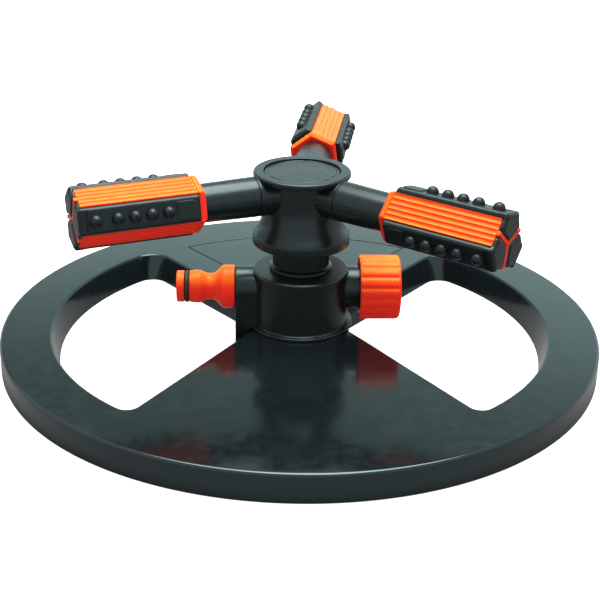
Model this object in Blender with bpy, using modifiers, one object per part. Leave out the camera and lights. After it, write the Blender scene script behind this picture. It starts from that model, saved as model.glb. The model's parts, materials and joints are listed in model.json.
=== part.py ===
"""Three-arm garden sprinkler on a round windowed base, in metres with +Z up.

The origin is the middle of the base, on the ground. The hose side is -X and the capped side is +X.
The rotor turns on the upright axis, each nozzle head turns on its own arm, and the end cap unscrews.
"""

import math

import bmesh
import bpy
from mathutils import Matrix, Vector

# Fits
SEAT_GAP = 0.0003
RUN_GAP = 0.0003
SEAL_GAP = 0.00015

# Base plate
BASE_RADIUS = 0.155
BASE_HEIGHT = 0.0145
BASE_WALL = 0.0025
BASE_EDGE_ROUND = 0.003
WINDOW_OUTER_RADIUS = 0.129
WINDOW_INNER_RADIUS = 0.027
WINDOW_SIDE_OFFSET = 0.0052
WINDOW_SIDE_ANGLE = math.radians(52.2)
WINDOW_OUTER_CORNER = 0.0115
WINDOW_INNER_CORNER = 0.005
WINDOW_LEAN = 0.0038
PANEL_INSET = 0.018
PANEL_RADIUS = 0.124
GROOVE_WIDTH = 0.0012
GROOVE_DEPTH = 0.0006
WEB_RIB_THICKNESS = 0.0016
WEB_RIB_HEIGHT = 0.006
WEB_RIB_SPREAD = math.radians(16)

# Base screws
SCREW_CIRCLE = 0.0175
SCREW_RADIUS = 0.00175
SCREW_GRIP = 0.009
SCREW_HEAD_RADIUS = 0.0034
SCREW_HEAD_HEIGHT = 0.0022
SCREW_COUNT = 4

# Water body
BODY_RADIUS = 0.025
BODY_HEIGHT = 0.0302
BODY_FOOT_RADIUS = 0.026
BODY_FOOT_HEIGHT = 0.0015
BODY_TOP_ROUND = 0.0015
PORT_HEIGHT = 0.034
WATERWAY_RADIUS = 0.0055
INLET_BOSS_RADIUS = 0.011
INLET_LEG_THICKNESS = 0.0027
INLET_LEG_LIFT = 0.0025
INLET_SOCKET_DEPTH = 0.010
INLET_SOCKET_RADIUS = 0.0085
OUTLET_NECK_RADIUS = 0.011
OUTLET_NECK_LENGTH = 0.0066
OUTLET_THREAD_RADIUS = 0.0132
OUTLET_THREAD_LENGTH = 0.0127
OUTLET_BORE_RADIUS = 0.0085

# Inlet nipple, measured outwards from the face of the inlet boss
NIPPLE_COLLAR_RADIUS = 0.0113
NIPPLE_COLLAR_LENGTH = 0.0058
NIPPLE_WAIST_RADIUS = 0.0069
NIPPLE_WAIST_REACH = 0.012
NIPPLE_BARREL_RADIUS = 0.0086
NIPPLE_BARREL_REACH = 0.018
NIPPLE_NOSE_RADIUS = 0.0082
NIPPLE_LENGTH = 0.0302
NIPPLE_BORE_RADIUS = 0.0045
NIPPLE_RING_REACH = 0.0248
NIPPLE_RING_THICKNESS = 0.0025

# End cap
CAP_RADIUS = 0.0167
CAP_LENGTH = 0.021
CAP_END_WALL = 0.0045
CAP_WALL_GAP = 0.0006
CAP_CHAMFER = 0.0014
CAP_RIBS = 18
CAP_RIB_DEPTH = 0.0006
CAP_WASHER_THICKNESS = 0.002
CAP_THREAD_PITCH = 0.001814

# Fixed neck and spindle
NECK_RADIUS = 0.0146
NECK_HEIGHT = 0.024
NECK_COLLAR_RADIUS = 0.0162
NECK_COLLAR_HEIGHT = 0.0018
NECK_PLUG_RADIUS = 0.0102
NECK_PLUG_DEPTH = 0.005
SPINDLE_RADIUS = 0.009
SPINDLE_BORE_RADIUS = 0.0055
WASHER_THICKNESS = 0.0008
WASHER_WIDTH = 0.0042
BUSH_WALL = 0.0014
BUSH_FLANGE_WIDTH = 0.0040
BUSH_FLANGE_THICKNESS = 0.0013
NUT_FLATS = 0.0225
NUT_HEIGHT = 0.004
SHAFT_SEAL_THICKNESS = 0.0014

# Rotor hub
HUB_NECK_RADIUS = 0.0184
HUB_FLANGE_RADIUS = 0.0247
HUB_FLANGE_THICKNESS = 0.003
HUB_FLANGE_ROUND = 0.0011
HUB_ABOVE_ARMS = 0.0109
HUB_WEB_THICKNESS = 0.006
HUB_CHAMBER_RADIUS = 0.0137
BELL_RADIUS = 0.025
BELL_SKIRT_HEIGHT = 0.004
BELL_FLARE_HEIGHT = 0.0165
BELL_OVERLAP = 0.0098
BELL_WALL = 0.003
HUB_CAP_RADIUS = 0.0192
HUB_CAP_THICKNESS = 0.0012
HUB_CAP_SINK = 0.0008
HUB_CAP_PLUG_HEIGHT = 0.002
HUB_CAP_PLUG_WALL = 0.0015

# Arms
ARM_COUNT = 3
ARM_FIRST_AZIMUTH = math.radians(81.7)
ARM_ABOVE_SPINDLE = 0.0027
ARM_ROOT_RADIUS = 0.0101
ARM_TIP_RADIUS = 0.0096
ARM_BORE_RADIUS = 0.005
ARM_STUB_REACH = 0.0255
ARM_PLUG_RADIUS = 0.0074
ARM_PLUG_LENGTH = 0.0095
ARM_SHOULDER_REACH = 0.0583
JOURNAL_RADIUS = 0.008
JOURNAL_LENGTH = 0.0177
HEAD_SEAL_SETBACK = 0.006
HEAD_SEAL_THICKNESS = 0.0012
CLIP_THICKNESS = 0.0011
CLIP_DEPTH = 0.001
CLIP_OUTER_RADIUS = 0.0092
CLIP_MOUTH = 0.008
CLIP_SETBACK = 0.0032

# Nozzle heads
HEAD_START = 0.0546
HEAD_LENGTH = 0.0624
HEAD_COLLAR_LENGTH = 0.0026
HEAD_COLLAR_CHAMFER = 0.0012
ORANGE_FACE_REACH = 0.013
ORANGE_FACE_WIDTH = 0.0141
ORANGE_FLUTES = 5
ORANGE_FLUTE_DEPTH = 0.0005
HEAD_ENTRY_DEPTH = 0.004
HEAD_CHAMBER_RADIUS = 0.0096
HEAD_END_WALL = 0.003
CHANNEL_LIP = 0.0007
CHANNEL_FLOOR = 0.0109
SLOT_WIDTH = 0.003
SLOT_END_MARGIN = 0.004
END_RIB_WIDTH = 0.003
END_RIB_HEIGHT = 0.0035
STRIP_REACH = 0.0148
STRIP_EDGE_ROUND = 0.0008
LOBE_THICKNESS = 0.0047
LOBE_ROUND = 0.0014
PAD_LENGTH = 0.012
PAD_WIDTH = 0.008
PAD_HEIGHT = 0.0014
DOME_RADIUS = 0.003
DOME_LIFT = 0.0005
DOME_FIRST = 0.0204
DOME_PITCH = 0.0083
DOME_ROW = 4
DOME_LAST_MARGIN = 0.0065
HEAD_TURNS = (math.radians(18.5), math.radians(-18.4), math.radians(48.1))

# Facets of the round shapes
BASE_STEPS = 64
BODY_STEPS = 28
TUBE_STEPS = 20
SMALL_STEPS = 16
RING_SIDES = 5

# Heights that follow from the sizes above
BODY_FLOOR = BASE_HEIGHT + SEAT_GAP
BODY_TOP = BODY_FLOOR + BODY_HEIGHT
NECK_FOOT = BODY_TOP + SEAT_GAP
NECK_TOP = NECK_FOOT + NECK_HEIGHT
LOWER_WASHER_FOOT = NECK_TOP + SEAT_GAP
BUSH_FOOT = LOWER_WASHER_FOOT + WASHER_THICKNESS + RUN_GAP
HUB_WEB_FOOT = BUSH_FOOT + BUSH_FLANGE_THICKNESS + SEAT_GAP
HUB_WEB_TOP = HUB_WEB_FOOT + HUB_WEB_THICKNESS
UPPER_WASHER_FOOT = HUB_WEB_TOP + RUN_GAP
NUT_FOOT = UPPER_WASHER_FOOT + WASHER_THICKNESS + SEAT_GAP
SPINDLE_TOP = NUT_FOOT + NUT_HEIGHT + SEAT_GAP
ARM_HEIGHT = SPINDLE_TOP + ARM_ABOVE_SPINDLE
HUB_TOP = ARM_HEIGHT + HUB_ABOVE_ARMS
BELL_FOOT = NECK_TOP - BELL_OVERLAP

# Places along the ports and the arms
INLET_FACE = WINDOW_INNER_RADIUS + WINDOW_LEAN + SEAT_GAP + INLET_LEG_THICKNESS
OUTLET_NECK_END = BODY_RADIUS + OUTLET_NECK_LENGTH
OUTLET_END = OUTLET_NECK_END + OUTLET_THREAD_LENGTH
CAP_BORE_END = OUTLET_END + SEAT_GAP + CAP_WASHER_THICKNESS + SEAT_GAP
CAP_START = CAP_BORE_END + CAP_END_WALL - CAP_LENGTH
JOURNAL_END = ARM_SHOULDER_REACH + JOURNAL_LENGTH
HEAD_END = HEAD_START + HEAD_LENGTH
HEAD_BORE_START = HEAD_START + HEAD_ENTRY_DEPTH
CLIP_START = JOURNAL_END - CLIP_SETBACK
HEAD_CHAMBER_START = CLIP_START - RUN_GAP
BLACK_FACE_WIDTH = math.sqrt(3) * ORANGE_FACE_REACH - ORANGE_FACE_WIDTH / 2
BLACK_FACE_REACH = (2 * ORANGE_FACE_WIDTH + BLACK_FACE_WIDTH) / (2 * math.sqrt(3))
CHANNEL_WIDTH = BLACK_FACE_WIDTH - 2 * CHANNEL_LIP
STRIP_WIDTH = CHANNEL_WIDTH - 2 * SEAT_GAP
STRIP_START = HEAD_START + HEAD_COLLAR_LENGTH + SEAT_GAP

# Radii that follow from what they fit
BUSH_BORE_RADIUS = SPINDLE_RADIUS + RUN_GAP
BUSH_OUTER_RADIUS = BUSH_BORE_RADIUS + BUSH_WALL
HUB_BORE_RADIUS = BUSH_OUTER_RADIUS + SEAT_GAP
HEAD_BORE_RADIUS = JOURNAL_RADIUS + RUN_GAP

parts = bpy.data.collections.new("three_arm_sprinkler")
cutters = bpy.data.collections.new("cutters")
materials = {}


def clear_scene():
    for old in list(bpy.data.objects):
        bpy.data.objects.remove(old)
    bpy.context.scene.collection.children.link(parts)
    bpy.context.scene.collection.children.link(cutters)


def plastic(name, colour, roughness):
    material = bpy.data.materials.new(name)
    material.use_nodes = True
    shader = material.node_tree.nodes["Principled BSDF"]
    shader.inputs["Base Color"].default_value = (*colour, 1.0)
    shader.inputs["Roughness"].default_value = roughness
    shader.inputs["Metallic"].default_value = 1.0 if name.startswith("steel") else 0.0
    materials[name] = material


def make_materials():
    plastic("black_abs", (0.012, 0.014, 0.016), 0.22)
    plastic("black_nozzle_abs", (0.014, 0.015, 0.018), 0.38)
    plastic("orange_abs", (0.90, 0.16, 0.02), 0.32)
    plastic("black_rubber", (0.015, 0.015, 0.015), 0.6)
    plastic("white_acetal", (0.75, 0.75, 0.72), 0.4)
    plastic("steel_zinc", (0.62, 0.62, 0.60), 0.35)


# Shapes


def object_of(name, mesh):
    obj = bpy.data.objects.new(name, mesh)
    cutters.objects.link(obj)
    obj.hide_render = True
    obj.display_type = "WIRE"
    return obj


def object_from(name, bm):
    mesh = bpy.data.meshes.new(name)
    bmesh.ops.recalc_face_normals(bm, faces=bm.faces)
    bm.to_mesh(mesh)
    bm.free()
    return object_of(name, mesh)


def arc(centre, radius, start, end, segments):
    """Points on an arc, both ends included, angles in radians."""
    turn = (end - start) / segments
    return [
        (centre[0] + radius * math.cos(start + turn * i), centre[1] + radius * math.sin(start + turn * i))
        for i in range(segments + 1)
    ]


def rounded(corners, segments=3):
    """The outline through (x, y, fillet radius) corners, each fillet limited by its shorter side."""
    outline = []
    for i, (x, y, fillet) in enumerate(corners):
        here = Vector((x, y))
        before = Vector(corners[i - 1][:2]) - here
        after = Vector(corners[(i + 1) % len(corners)][:2]) - here
        if not fillet:
            outline.append((x, y))
            continue
        half = before.angle(after) / 2
        reach = min(fillet / math.tan(half), before.length * 0.49, after.length * 0.49)
        start = before.normalized() * reach
        end = after.normalized() * reach
        centre = (start + end).normalized() * (reach / math.cos(half))
        first, last = start - centre, end - centre
        sweep = math.atan2(first.x * last.y - first.y * last.x, first.dot(last))
        angle = math.atan2(first.y, first.x)
        outline += arc(here + centre, first.length, angle, angle + sweep, segments)
    return outline


def turned(name, corners, steps, segments=2):
    """A solid turned round Z. The (radius, height, fillet) corners run down its outer side."""
    outline = rounded(corners, segments)
    closed = corners[0][0] > 0
    count = len(outline)
    edges = [(i, (i + 1) % count) for i in range(count if closed else count - 1)]
    mesh = bpy.data.meshes.new(name)
    mesh.from_pydata([(radius, 0, height) for radius, height in outline], edges, [])
    obj = object_of(name, mesh)
    screw = obj.modifiers.new("turn", "SCREW")
    screw.steps = screw.render_steps = steps
    screw.use_merge_vertices = True
    screw.merge_threshold = 0.00001
    return obj


def loft(name, sections):
    """A closed solid through outlines of as many points each, given as (outline, height) from low to high."""
    bm = bmesh.new()
    rings = [[bm.verts.new((x, y, height)) for x, y in outline] for outline, height in sections]
    for lower, upper in zip(rings, rings[1:]):
        for i in range(len(lower)):
            bm.faces.new((lower[i - 1], lower[i], upper[i], upper[i - 1]))
    bm.faces.new(rings[0][::-1])
    bm.faces.new(rings[-1])
    return object_from(name, bm)


def box(name, low, high):
    bm = bmesh.new()
    bmesh.ops.create_cube(bm, size=1)
    size = [high[i] - low[i] for i in range(3)]
    middle = [(high[i] + low[i]) / 2 for i in range(3)]
    bmesh.ops.scale(bm, vec=size, verts=bm.verts)
    bmesh.ops.translate(bm, vec=middle, verts=bm.verts)
    return object_from(name, bm)


def cylinder(name, radius, low, high, steps=TUBE_STEPS):
    bm = bmesh.new()
    bmesh.ops.create_cone(
        bm, cap_ends=True, segments=steps, radius1=radius, radius2=radius, depth=high - low
    )
    bmesh.ops.translate(bm, vec=(0, 0, (low + high) / 2), verts=bm.verts)
    return object_from(name, bm)


def dome(name, radius, centre):
    bm = bmesh.new()
    bmesh.ops.create_uvsphere(bm, u_segments=8, v_segments=4, radius=radius)
    bmesh.ops.rotate(bm, cent=(0, 0, 0), matrix=Matrix.Rotation(math.pi / 2, 3, "Y"), verts=bm.verts)
    bmesh.ops.translate(bm, vec=centre, verts=bm.verts)
    return object_from(name, bm)


def seal_ring(name, inner, thickness, height, sides=RING_SIDES):
    """A round-section ring of the given inner radius, its middle at this height."""
    half = thickness / 2
    section = [(inner + half + half * math.cos(turn), height + half * math.sin(turn), 0)
               for turn in (-math.tau * i / sides for i in range(sides))]
    return turned(name, section, SMALL_STEPS)


def boolean(obj, tool, operation):
    modifier = obj.modifiers.new(tool.name, "BOOLEAN")
    modifier.object = tool
    modifier.operation = operation


def cut(obj, *tools):
    for tool in tools:
        boolean(obj, tool, "DIFFERENCE")


def join(obj, *pieces):
    for piece in pieces:
        boolean(obj, piece, "UNION")


def bake(obj, sharp_angle=math.radians(32)):
    """Turns the object's modifiers into its mesh, shaded smooth up to this angle."""
    bpy.context.view_layer.update()
    graph = bpy.context.evaluated_depsgraph_get()
    mesh = bpy.data.meshes.new_from_object(obj.evaluated_get(graph))
    obj.modifiers.clear()
    obj.data = mesh
    mesh.shade_smooth()
    mesh.set_sharp_from_angle(angle=sharp_angle)


def finish(obj, material):
    """Bakes a piece and moves it from the cutters to the parts."""
    bake(obj)
    obj.data.materials.clear()
    obj.data.materials.append(materials[material])
    cutters.objects.unlink(obj)
    parts.objects.link(obj)
    obj.hide_render = False
    obj.display_type = "TEXTURED"
    return obj


def copy_of(obj, name, axis):
    """Another object on the same finished mesh, carried by another axis."""
    other = bpy.data.objects.new(name, obj.data)
    parts.objects.link(other)
    other.parent = axis
    return other


def axis_empty(name, place, columns=None, parent=None):
    """An empty at a joint or a port. The columns are its own X, Y and Z directions."""
    empty = bpy.data.objects.new(name, None)
    parts.objects.link(empty)
    empty.empty_display_size = 0.01
    empty.parent = parent
    frame = Matrix(columns).transposed().to_4x4() if columns else Matrix()
    empty.matrix_local = Matrix.Translation(place) @ frame
    return empty


def carried(obj, axis):
    obj.parent = axis
    return obj


# Base


def window_outline(inset):
    """The right-hand window, drawn in by this much from its outline at the top of the base."""
    normal = Vector((math.sin(WINDOW_SIDE_ANGLE), -math.cos(WINDOW_SIDE_ANGLE)))
    along = Vector((math.cos(WINDOW_SIDE_ANGLE), math.sin(WINDOW_SIDE_ANGLE)))

    def corner_centre(corner, radius):
        off = WINDOW_SIDE_OFFSET + corner
        return normal * off + along * math.sqrt(radius**2 - off**2)

    inner = corner_centre(WINDOW_INNER_CORNER, WINDOW_INNER_RADIUS + WINDOW_INNER_CORNER)
    outer = corner_centre(WINDOW_OUTER_CORNER, WINDOW_OUTER_RADIUS - WINDOW_OUTER_CORNER)
    inner_angle = math.atan2(inner.y, inner.x)
    outer_angle = math.atan2(outer.y, outer.x)
    side = WINDOW_SIDE_ANGLE + math.pi / 2
    upper = arc((0, 0), WINDOW_INNER_RADIUS + inset, 0, inner_angle, 4)[1:-1]
    upper += arc(inner, WINDOW_INNER_CORNER - inset, inner_angle + math.pi, side, 3)
    upper += arc(outer, WINDOW_OUTER_CORNER - inset, side, outer_angle, 5)
    upper += arc((0, 0), WINDOW_OUTER_RADIUS - inset, outer_angle, 0, 12)[1:-1]
    start = (WINDOW_INNER_RADIUS + inset, 0)
    end = (WINDOW_OUTER_RADIUS - inset, 0)
    return [start, *upper, end, *[(x, -y) for x, y in reversed(upper)]]


def window_prism(name, side, wall):
    """The space of one window with its leaning walls, grown by the wall thickness. Side is 1 or -1."""
    over = BASE_HEIGHT * 0.1
    lean = WINDOW_LEAN * (1 + over / BASE_HEIGHT)
    sections = []
    for inset, height in ((lean - wall, -over), (WINDOW_LEAN - lean - wall, BASE_HEIGHT + over)):
        outline = [(side * x, side * y) for x, y in window_outline(inset)]
        sections.append((outline, height))
    return loft(name, sections)


def panel_outline(inset):
    """The fan-shaped panel of the rear web, drawn in by this much."""
    along = Vector((math.cos(WINDOW_SIDE_ANGLE), math.sin(WINDOW_SIDE_ANGLE)))
    normal = Vector((along.y, -along.x))
    off = WINDOW_SIDE_OFFSET - PANEL_INSET - inset
    radius = PANEL_RADIUS - inset
    foot = BODY_FOOT_RADIUS + 2 * GROOVE_WIDTH + inset

    def on_side(reach):
        return normal * off + along * math.sqrt(reach**2 - off**2)

    corner = on_side(radius)
    heel = on_side(foot)
    corner_angle = math.atan2(corner.y, corner.x)
    heel_angle = math.atan2(heel.y, heel.x)
    outer = arc((0, 0), radius, corner_angle, math.pi - corner_angle, 20)
    inner = arc((0, 0), foot, math.pi - heel_angle, heel_angle, 4)
    return outer + inner


def panel_groove(name, side):
    """The cutter of the groove round one web's panel."""
    loops = []
    for inset in (0, GROOVE_WIDTH):
        loops.append([(x, side * y) for x, y in panel_outline(inset)])
    bm = bmesh.new()
    low, high = BASE_HEIGHT - GROOVE_DEPTH, BASE_HEIGHT + GROOVE_DEPTH
    rings = [
        [bm.verts.new((x, y, height)) for x, y in loop]
        for loop, height in ((loops[0], low), (loops[0], high), (loops[1], high), (loops[1], low))
    ]
    for i, ring in enumerate(rings):
        following = rings[(i + 1) % 4]
        for j in range(len(ring)):
            bm.faces.new((ring[j - 1], ring[j], following[j], following[j - 1]))
    return object_from(name, bm)


def screw_places():
    for i in range(SCREW_COUNT):
        turn = math.tau * (i + 0.5) / SCREW_COUNT
        yield SCREW_CIRCLE * math.cos(turn), SCREW_CIRCLE * math.sin(turn)


def make_base():
    inside = BASE_RADIUS - BASE_WALL
    ceiling = BASE_HEIGHT - BASE_WALL
    cavity = turned("base_cavity", [
        (0, ceiling, 0), (inside, ceiling, BASE_EDGE_ROUND), (inside, -BASE_WALL, 0), (0, -BASE_WALL, 0),
    ], BASE_STEPS)
    for side, word in ((1, "right"), (-1, "left")):
        cut(cavity, window_prism(f"{word}_window_wall", side, BASE_WALL))
    for side in (1, -1):
        for lean in (-1, 0, 1):
            name = f"web_rib_{'rear' if side > 0 else 'front'}_{lean + 1}"
            rib = box(name, (SCREW_CIRCLE + 2 * SCREW_HEAD_RADIUS, -WEB_RIB_THICKNESS / 2,
                             ceiling - WEB_RIB_HEIGHT),
                      (BASE_RADIUS, WEB_RIB_THICKNESS / 2, BASE_HEIGHT))
            rib.rotation_euler.z = side * math.pi / 2 + lean * WEB_RIB_SPREAD
            cut(cavity, rib)
    base = turned("base_plate", [
        (0, BASE_HEIGHT, 0), (BASE_RADIUS, BASE_HEIGHT, BASE_EDGE_ROUND), (BASE_RADIUS, 0, 0), (0, 0, 0),
    ], BASE_STEPS)
    for side, word in ((1, "right"), (-1, "left")):
        cut(base, window_prism(f"{word}_window", side, 0))
        cut(base, panel_groove(f"{word}_panel_groove", side))
    for i, (x, y) in enumerate(screw_places()):
        hole = cylinder(f"base_screw_hole_{i + 1}", SCREW_RADIUS + SEAT_GAP, 0, BASE_HEIGHT * 1.2, 10)
        hole.location = (x, y, 0)
        cut(base, hole)
    cut(base, cavity)
    finish(base, "black_abs")


def make_screws():
    seat = BASE_HEIGHT - BASE_WALL - SEAT_GAP
    tip = BODY_FLOOR + SCREW_GRIP
    first = turned("base_screw_1", [
        (0, tip, 0), (SCREW_RADIUS, tip, SCREW_RADIUS / 3), (SCREW_RADIUS, seat, 0),
        (SCREW_HEAD_RADIUS, seat, 0), (SCREW_HEAD_RADIUS, seat - SCREW_HEAD_HEIGHT, SCREW_HEAD_HEIGHT / 2),
        (0, seat - SCREW_HEAD_HEIGHT, 0),
    ], 10, segments=1)
    finish(first, "steel_zinc")
    for i, (x, y) in enumerate(screw_places()):
        screw = first if i == 0 else copy_of(first, f"base_screw_{i + 1}", None)
        screw.location = (x, y, 0)


# Water body and its fittings


def make_body(inlet, outlet):
    body = turned("water_body", [
        (0, BODY_TOP, 0), (BODY_RADIUS, BODY_TOP, BODY_TOP_ROUND),
        (BODY_RADIUS, BODY_FLOOR + BODY_FOOT_HEIGHT, 0),
        (BODY_FOOT_RADIUS, BODY_FLOOR + BODY_FOOT_HEIGHT, BODY_FOOT_HEIGHT / 3),
        (BODY_FOOT_RADIUS, BODY_FLOOR, 0), (0, BODY_FLOOR, 0),
    ], BODY_STEPS)
    boss = carried(cylinder("inlet_boss", INLET_BOSS_RADIUS, 0, INLET_FACE, BODY_STEPS), inlet)
    block = box("inlet_block", (-INLET_FACE, -INLET_BOSS_RADIUS, BODY_FLOOR),
                (0, INLET_BOSS_RADIUS, PORT_HEIGHT))
    leg = box("inlet_leg", (-INLET_FACE, -INLET_BOSS_RADIUS, INLET_LEG_LIFT),
              (INLET_LEG_THICKNESS - INLET_FACE, INLET_BOSS_RADIUS, PORT_HEIGHT))
    neck = carried(turned("outlet_spigot", [
        (0, OUTLET_END, 0), (OUTLET_THREAD_RADIUS, OUTLET_END, SEAT_GAP * 2),
        (OUTLET_THREAD_RADIUS, OUTLET_NECK_END, 0), (OUTLET_NECK_RADIUS, OUTLET_NECK_END, 0),
        (OUTLET_NECK_RADIUS, 0, 0), (0, 0, 0),
    ], BODY_STEPS), outlet)
    join(body, boss, block, leg, neck)
    socket = carried(cylinder("inlet_socket", INLET_SOCKET_RADIUS,
                              INLET_FACE - INLET_SOCKET_DEPTH, INLET_FACE * 1.1), inlet)
    waterway = carried(cylinder("cross_waterway", WATERWAY_RADIUS, 0, INLET_FACE), inlet)
    outlet_bore = carried(cylinder("outlet_bore", OUTLET_BORE_RADIUS, 0, OUTLET_END * 1.1), outlet)
    rise = cylinder("riser_waterway", WATERWAY_RADIUS, PORT_HEIGHT, BODY_TOP)
    neck_socket = cylinder("neck_socket", NECK_PLUG_RADIUS + SEAT_GAP,
                           NECK_FOOT - NECK_PLUG_DEPTH - SEAT_GAP, BODY_TOP * 1.1, BODY_STEPS)
    cut(body, socket, waterway, outlet_bore, rise, neck_socket)
    for i, (x, y) in enumerate(screw_places()):
        pilot = cylinder(f"pilot_hole_{i + 1}", SCREW_RADIUS + SEAT_GAP, 0,
                         BODY_FLOOR + SCREW_GRIP + SEAT_GAP, 10)
        pilot.location = (x, y, 0)
        cut(body, pilot)
    finish(body, "black_abs")


def make_inlet(inlet):
    face = INLET_FACE + SEAT_GAP
    tip = face + NIPPLE_LENGTH
    plug_end = INLET_FACE - INLET_SOCKET_DEPTH + 2 * SEAT_GAP + WASHER_THICKNESS
    plug = INLET_SOCKET_RADIUS - SEAT_GAP
    groove = face + NIPPLE_RING_REACH
    half_groove = NIPPLE_RING_THICKNESS / 2 + SEAL_GAP
    ring_inner = NIPPLE_NOSE_RADIUS + SEAL_GAP - NIPPLE_RING_THICKNESS
    bottom = ring_inner - SEAL_GAP
    soft = NIPPLE_COLLAR_RADIUS - NIPPLE_WAIST_RADIUS
    adapter = carried(turned("inlet_nipple", [
        (NIPPLE_BORE_RADIUS, tip, 0), (NIPPLE_NOSE_RADIUS, tip, SEAT_GAP * 4),
        (NIPPLE_NOSE_RADIUS, groove + half_groove, 0), (bottom, groove + half_groove, 0),
        (bottom, groove - half_groove, 0), (NIPPLE_NOSE_RADIUS, groove - half_groove, 0),
        (NIPPLE_BARREL_RADIUS, face + NIPPLE_BARREL_REACH, soft),
        (NIPPLE_WAIST_RADIUS, face + NIPPLE_WAIST_REACH, soft),
        (NIPPLE_COLLAR_RADIUS, face + NIPPLE_COLLAR_LENGTH, soft / 2),
        (NIPPLE_COLLAR_RADIUS, face, SEAT_GAP * 2), (plug, face, 0), (plug, plug_end, 0),
        (NIPPLE_BORE_RADIUS, plug_end, 0),
    ], TUBE_STEPS, segments=3), inlet)
    finish(adapter, "orange_abs")
    ring = seal_ring("nipple_o_ring", ring_inner, NIPPLE_RING_THICKNESS, groove, 8)
    finish(carried(ring, inlet), "black_rubber")
    washer_foot = INLET_FACE - INLET_SOCKET_DEPTH + SEAT_GAP
    washer = flat_washer("inlet_washer", NIPPLE_BORE_RADIUS + SEAT_GAP, plug, washer_foot, WASHER_THICKNESS)
    finish(carried(washer, inlet), "black_rubber")


def flat_washer(name, bore, radius, foot, thickness):
    return turned(name, [
        (radius, foot + thickness, 0), (radius, foot, 0), (bore, foot, 0), (bore, foot + thickness, 0),
    ], SMALL_STEPS)


def ribbed_circle(radius, depth, ribs, points_each=2):
    """A round outline whose radius swells and sinks by the depth, once for each rib."""
    count = ribs * points_each
    turns = [math.tau * i / count for i in range(count)]
    reach = [radius - depth * (1 - math.cos(ribs * turn)) / 2 for turn in turns]
    return [(r * math.cos(turn), r * math.sin(turn)) for r, turn in zip(reach, turns)]


def make_end_cap(outlet):
    bore = OUTLET_THREAD_RADIUS + RUN_GAP
    end = CAP_BORE_END + CAP_END_WALL
    outer = ribbed_circle(CAP_RADIUS, CAP_RIB_DEPTH, CAP_RIBS)
    small = ribbed_circle(CAP_RADIUS - CAP_CHAMFER, CAP_RIB_DEPTH / 4, CAP_RIBS)
    lip = ribbed_circle(CAP_RADIUS - CAP_RIB_DEPTH, CAP_RIB_DEPTH / 4, CAP_RIBS)
    cap = carried(loft("end_cap", [
        (lip, CAP_START), (outer, CAP_START + CAP_WALL_GAP), (outer, end - CAP_CHAMFER), (small, end),
    ]), outlet)
    hollow = carried(cylinder("cap_bore", bore, CAP_START - CAP_WALL_GAP, CAP_BORE_END, 32), outlet)
    cut(cap, hollow)
    finish(cap, "orange_abs")
    washer = flat_washer("cap_washer", OUTLET_BORE_RADIUS, OUTLET_THREAD_RADIUS - SEAT_GAP,
                         OUTLET_END + SEAT_GAP, CAP_WASHER_THICKNESS)
    finish(carried(washer, outlet), "black_rubber")


# Neck, spindle and what runs on it


def make_neck():
    plug_end = NECK_FOOT - NECK_PLUG_DEPTH
    collar_top = NECK_FOOT + NECK_COLLAR_HEIGHT
    groove_middle = (HUB_WEB_FOOT + HUB_WEB_TOP) / 2
    half_groove = SHAFT_SEAL_THICKNESS / 2 + SEAL_GAP
    floor = SPINDLE_RADIUS - SHAFT_SEAL_THICKNESS
    neck = turned("pivot_neck", [
        (SPINDLE_BORE_RADIUS, SPINDLE_TOP, 0), (SPINDLE_RADIUS, SPINDLE_TOP, SEAT_GAP * 2),
        (SPINDLE_RADIUS, groove_middle + half_groove, 0), (floor, groove_middle + half_groove, 0),
        (floor, groove_middle - half_groove, 0), (SPINDLE_RADIUS, groove_middle - half_groove, 0),
        (SPINDLE_RADIUS, NECK_TOP, 0), (NECK_RADIUS, NECK_TOP, 0), (NECK_RADIUS, collar_top, 0),
        (NECK_COLLAR_RADIUS, collar_top, NECK_COLLAR_HEIGHT / 2),
        (NECK_COLLAR_RADIUS, NECK_FOOT, 0), (NECK_PLUG_RADIUS, NECK_FOOT, 0),
        (NECK_PLUG_RADIUS, plug_end, 0), (SPINDLE_BORE_RADIUS, plug_end, 0),
    ], TUBE_STEPS)
    finish(neck, "black_abs")
    seal_inner = floor + SEAL_GAP
    seal = seal_ring("shaft_seal", seal_inner, SHAFT_SEAL_THICKNESS, groove_middle)
    finish(seal, "black_rubber")
    lower = flat_washer("lower_thrust_washer", BUSH_BORE_RADIUS, BUSH_BORE_RADIUS + WASHER_WIDTH,
                        LOWER_WASHER_FOOT, WASHER_THICKNESS)
    finish(lower, "white_acetal")
    upper = flat_washer("upper_thrust_washer", BUSH_BORE_RADIUS, BUSH_BORE_RADIUS + WASHER_WIDTH,
                        UPPER_WASHER_FOOT, WASHER_THICKNESS)
    finish(upper, "white_acetal")
    nut = cylinder("retaining_nut", NUT_FLATS / math.sqrt(3), NUT_FOOT, NUT_FOOT + NUT_HEIGHT, 6)
    cut(nut, cylinder("nut_bore", SPINDLE_RADIUS + SEAT_GAP, NECK_TOP, HUB_TOP))
    finish(nut, "white_acetal")


# Rotor


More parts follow.
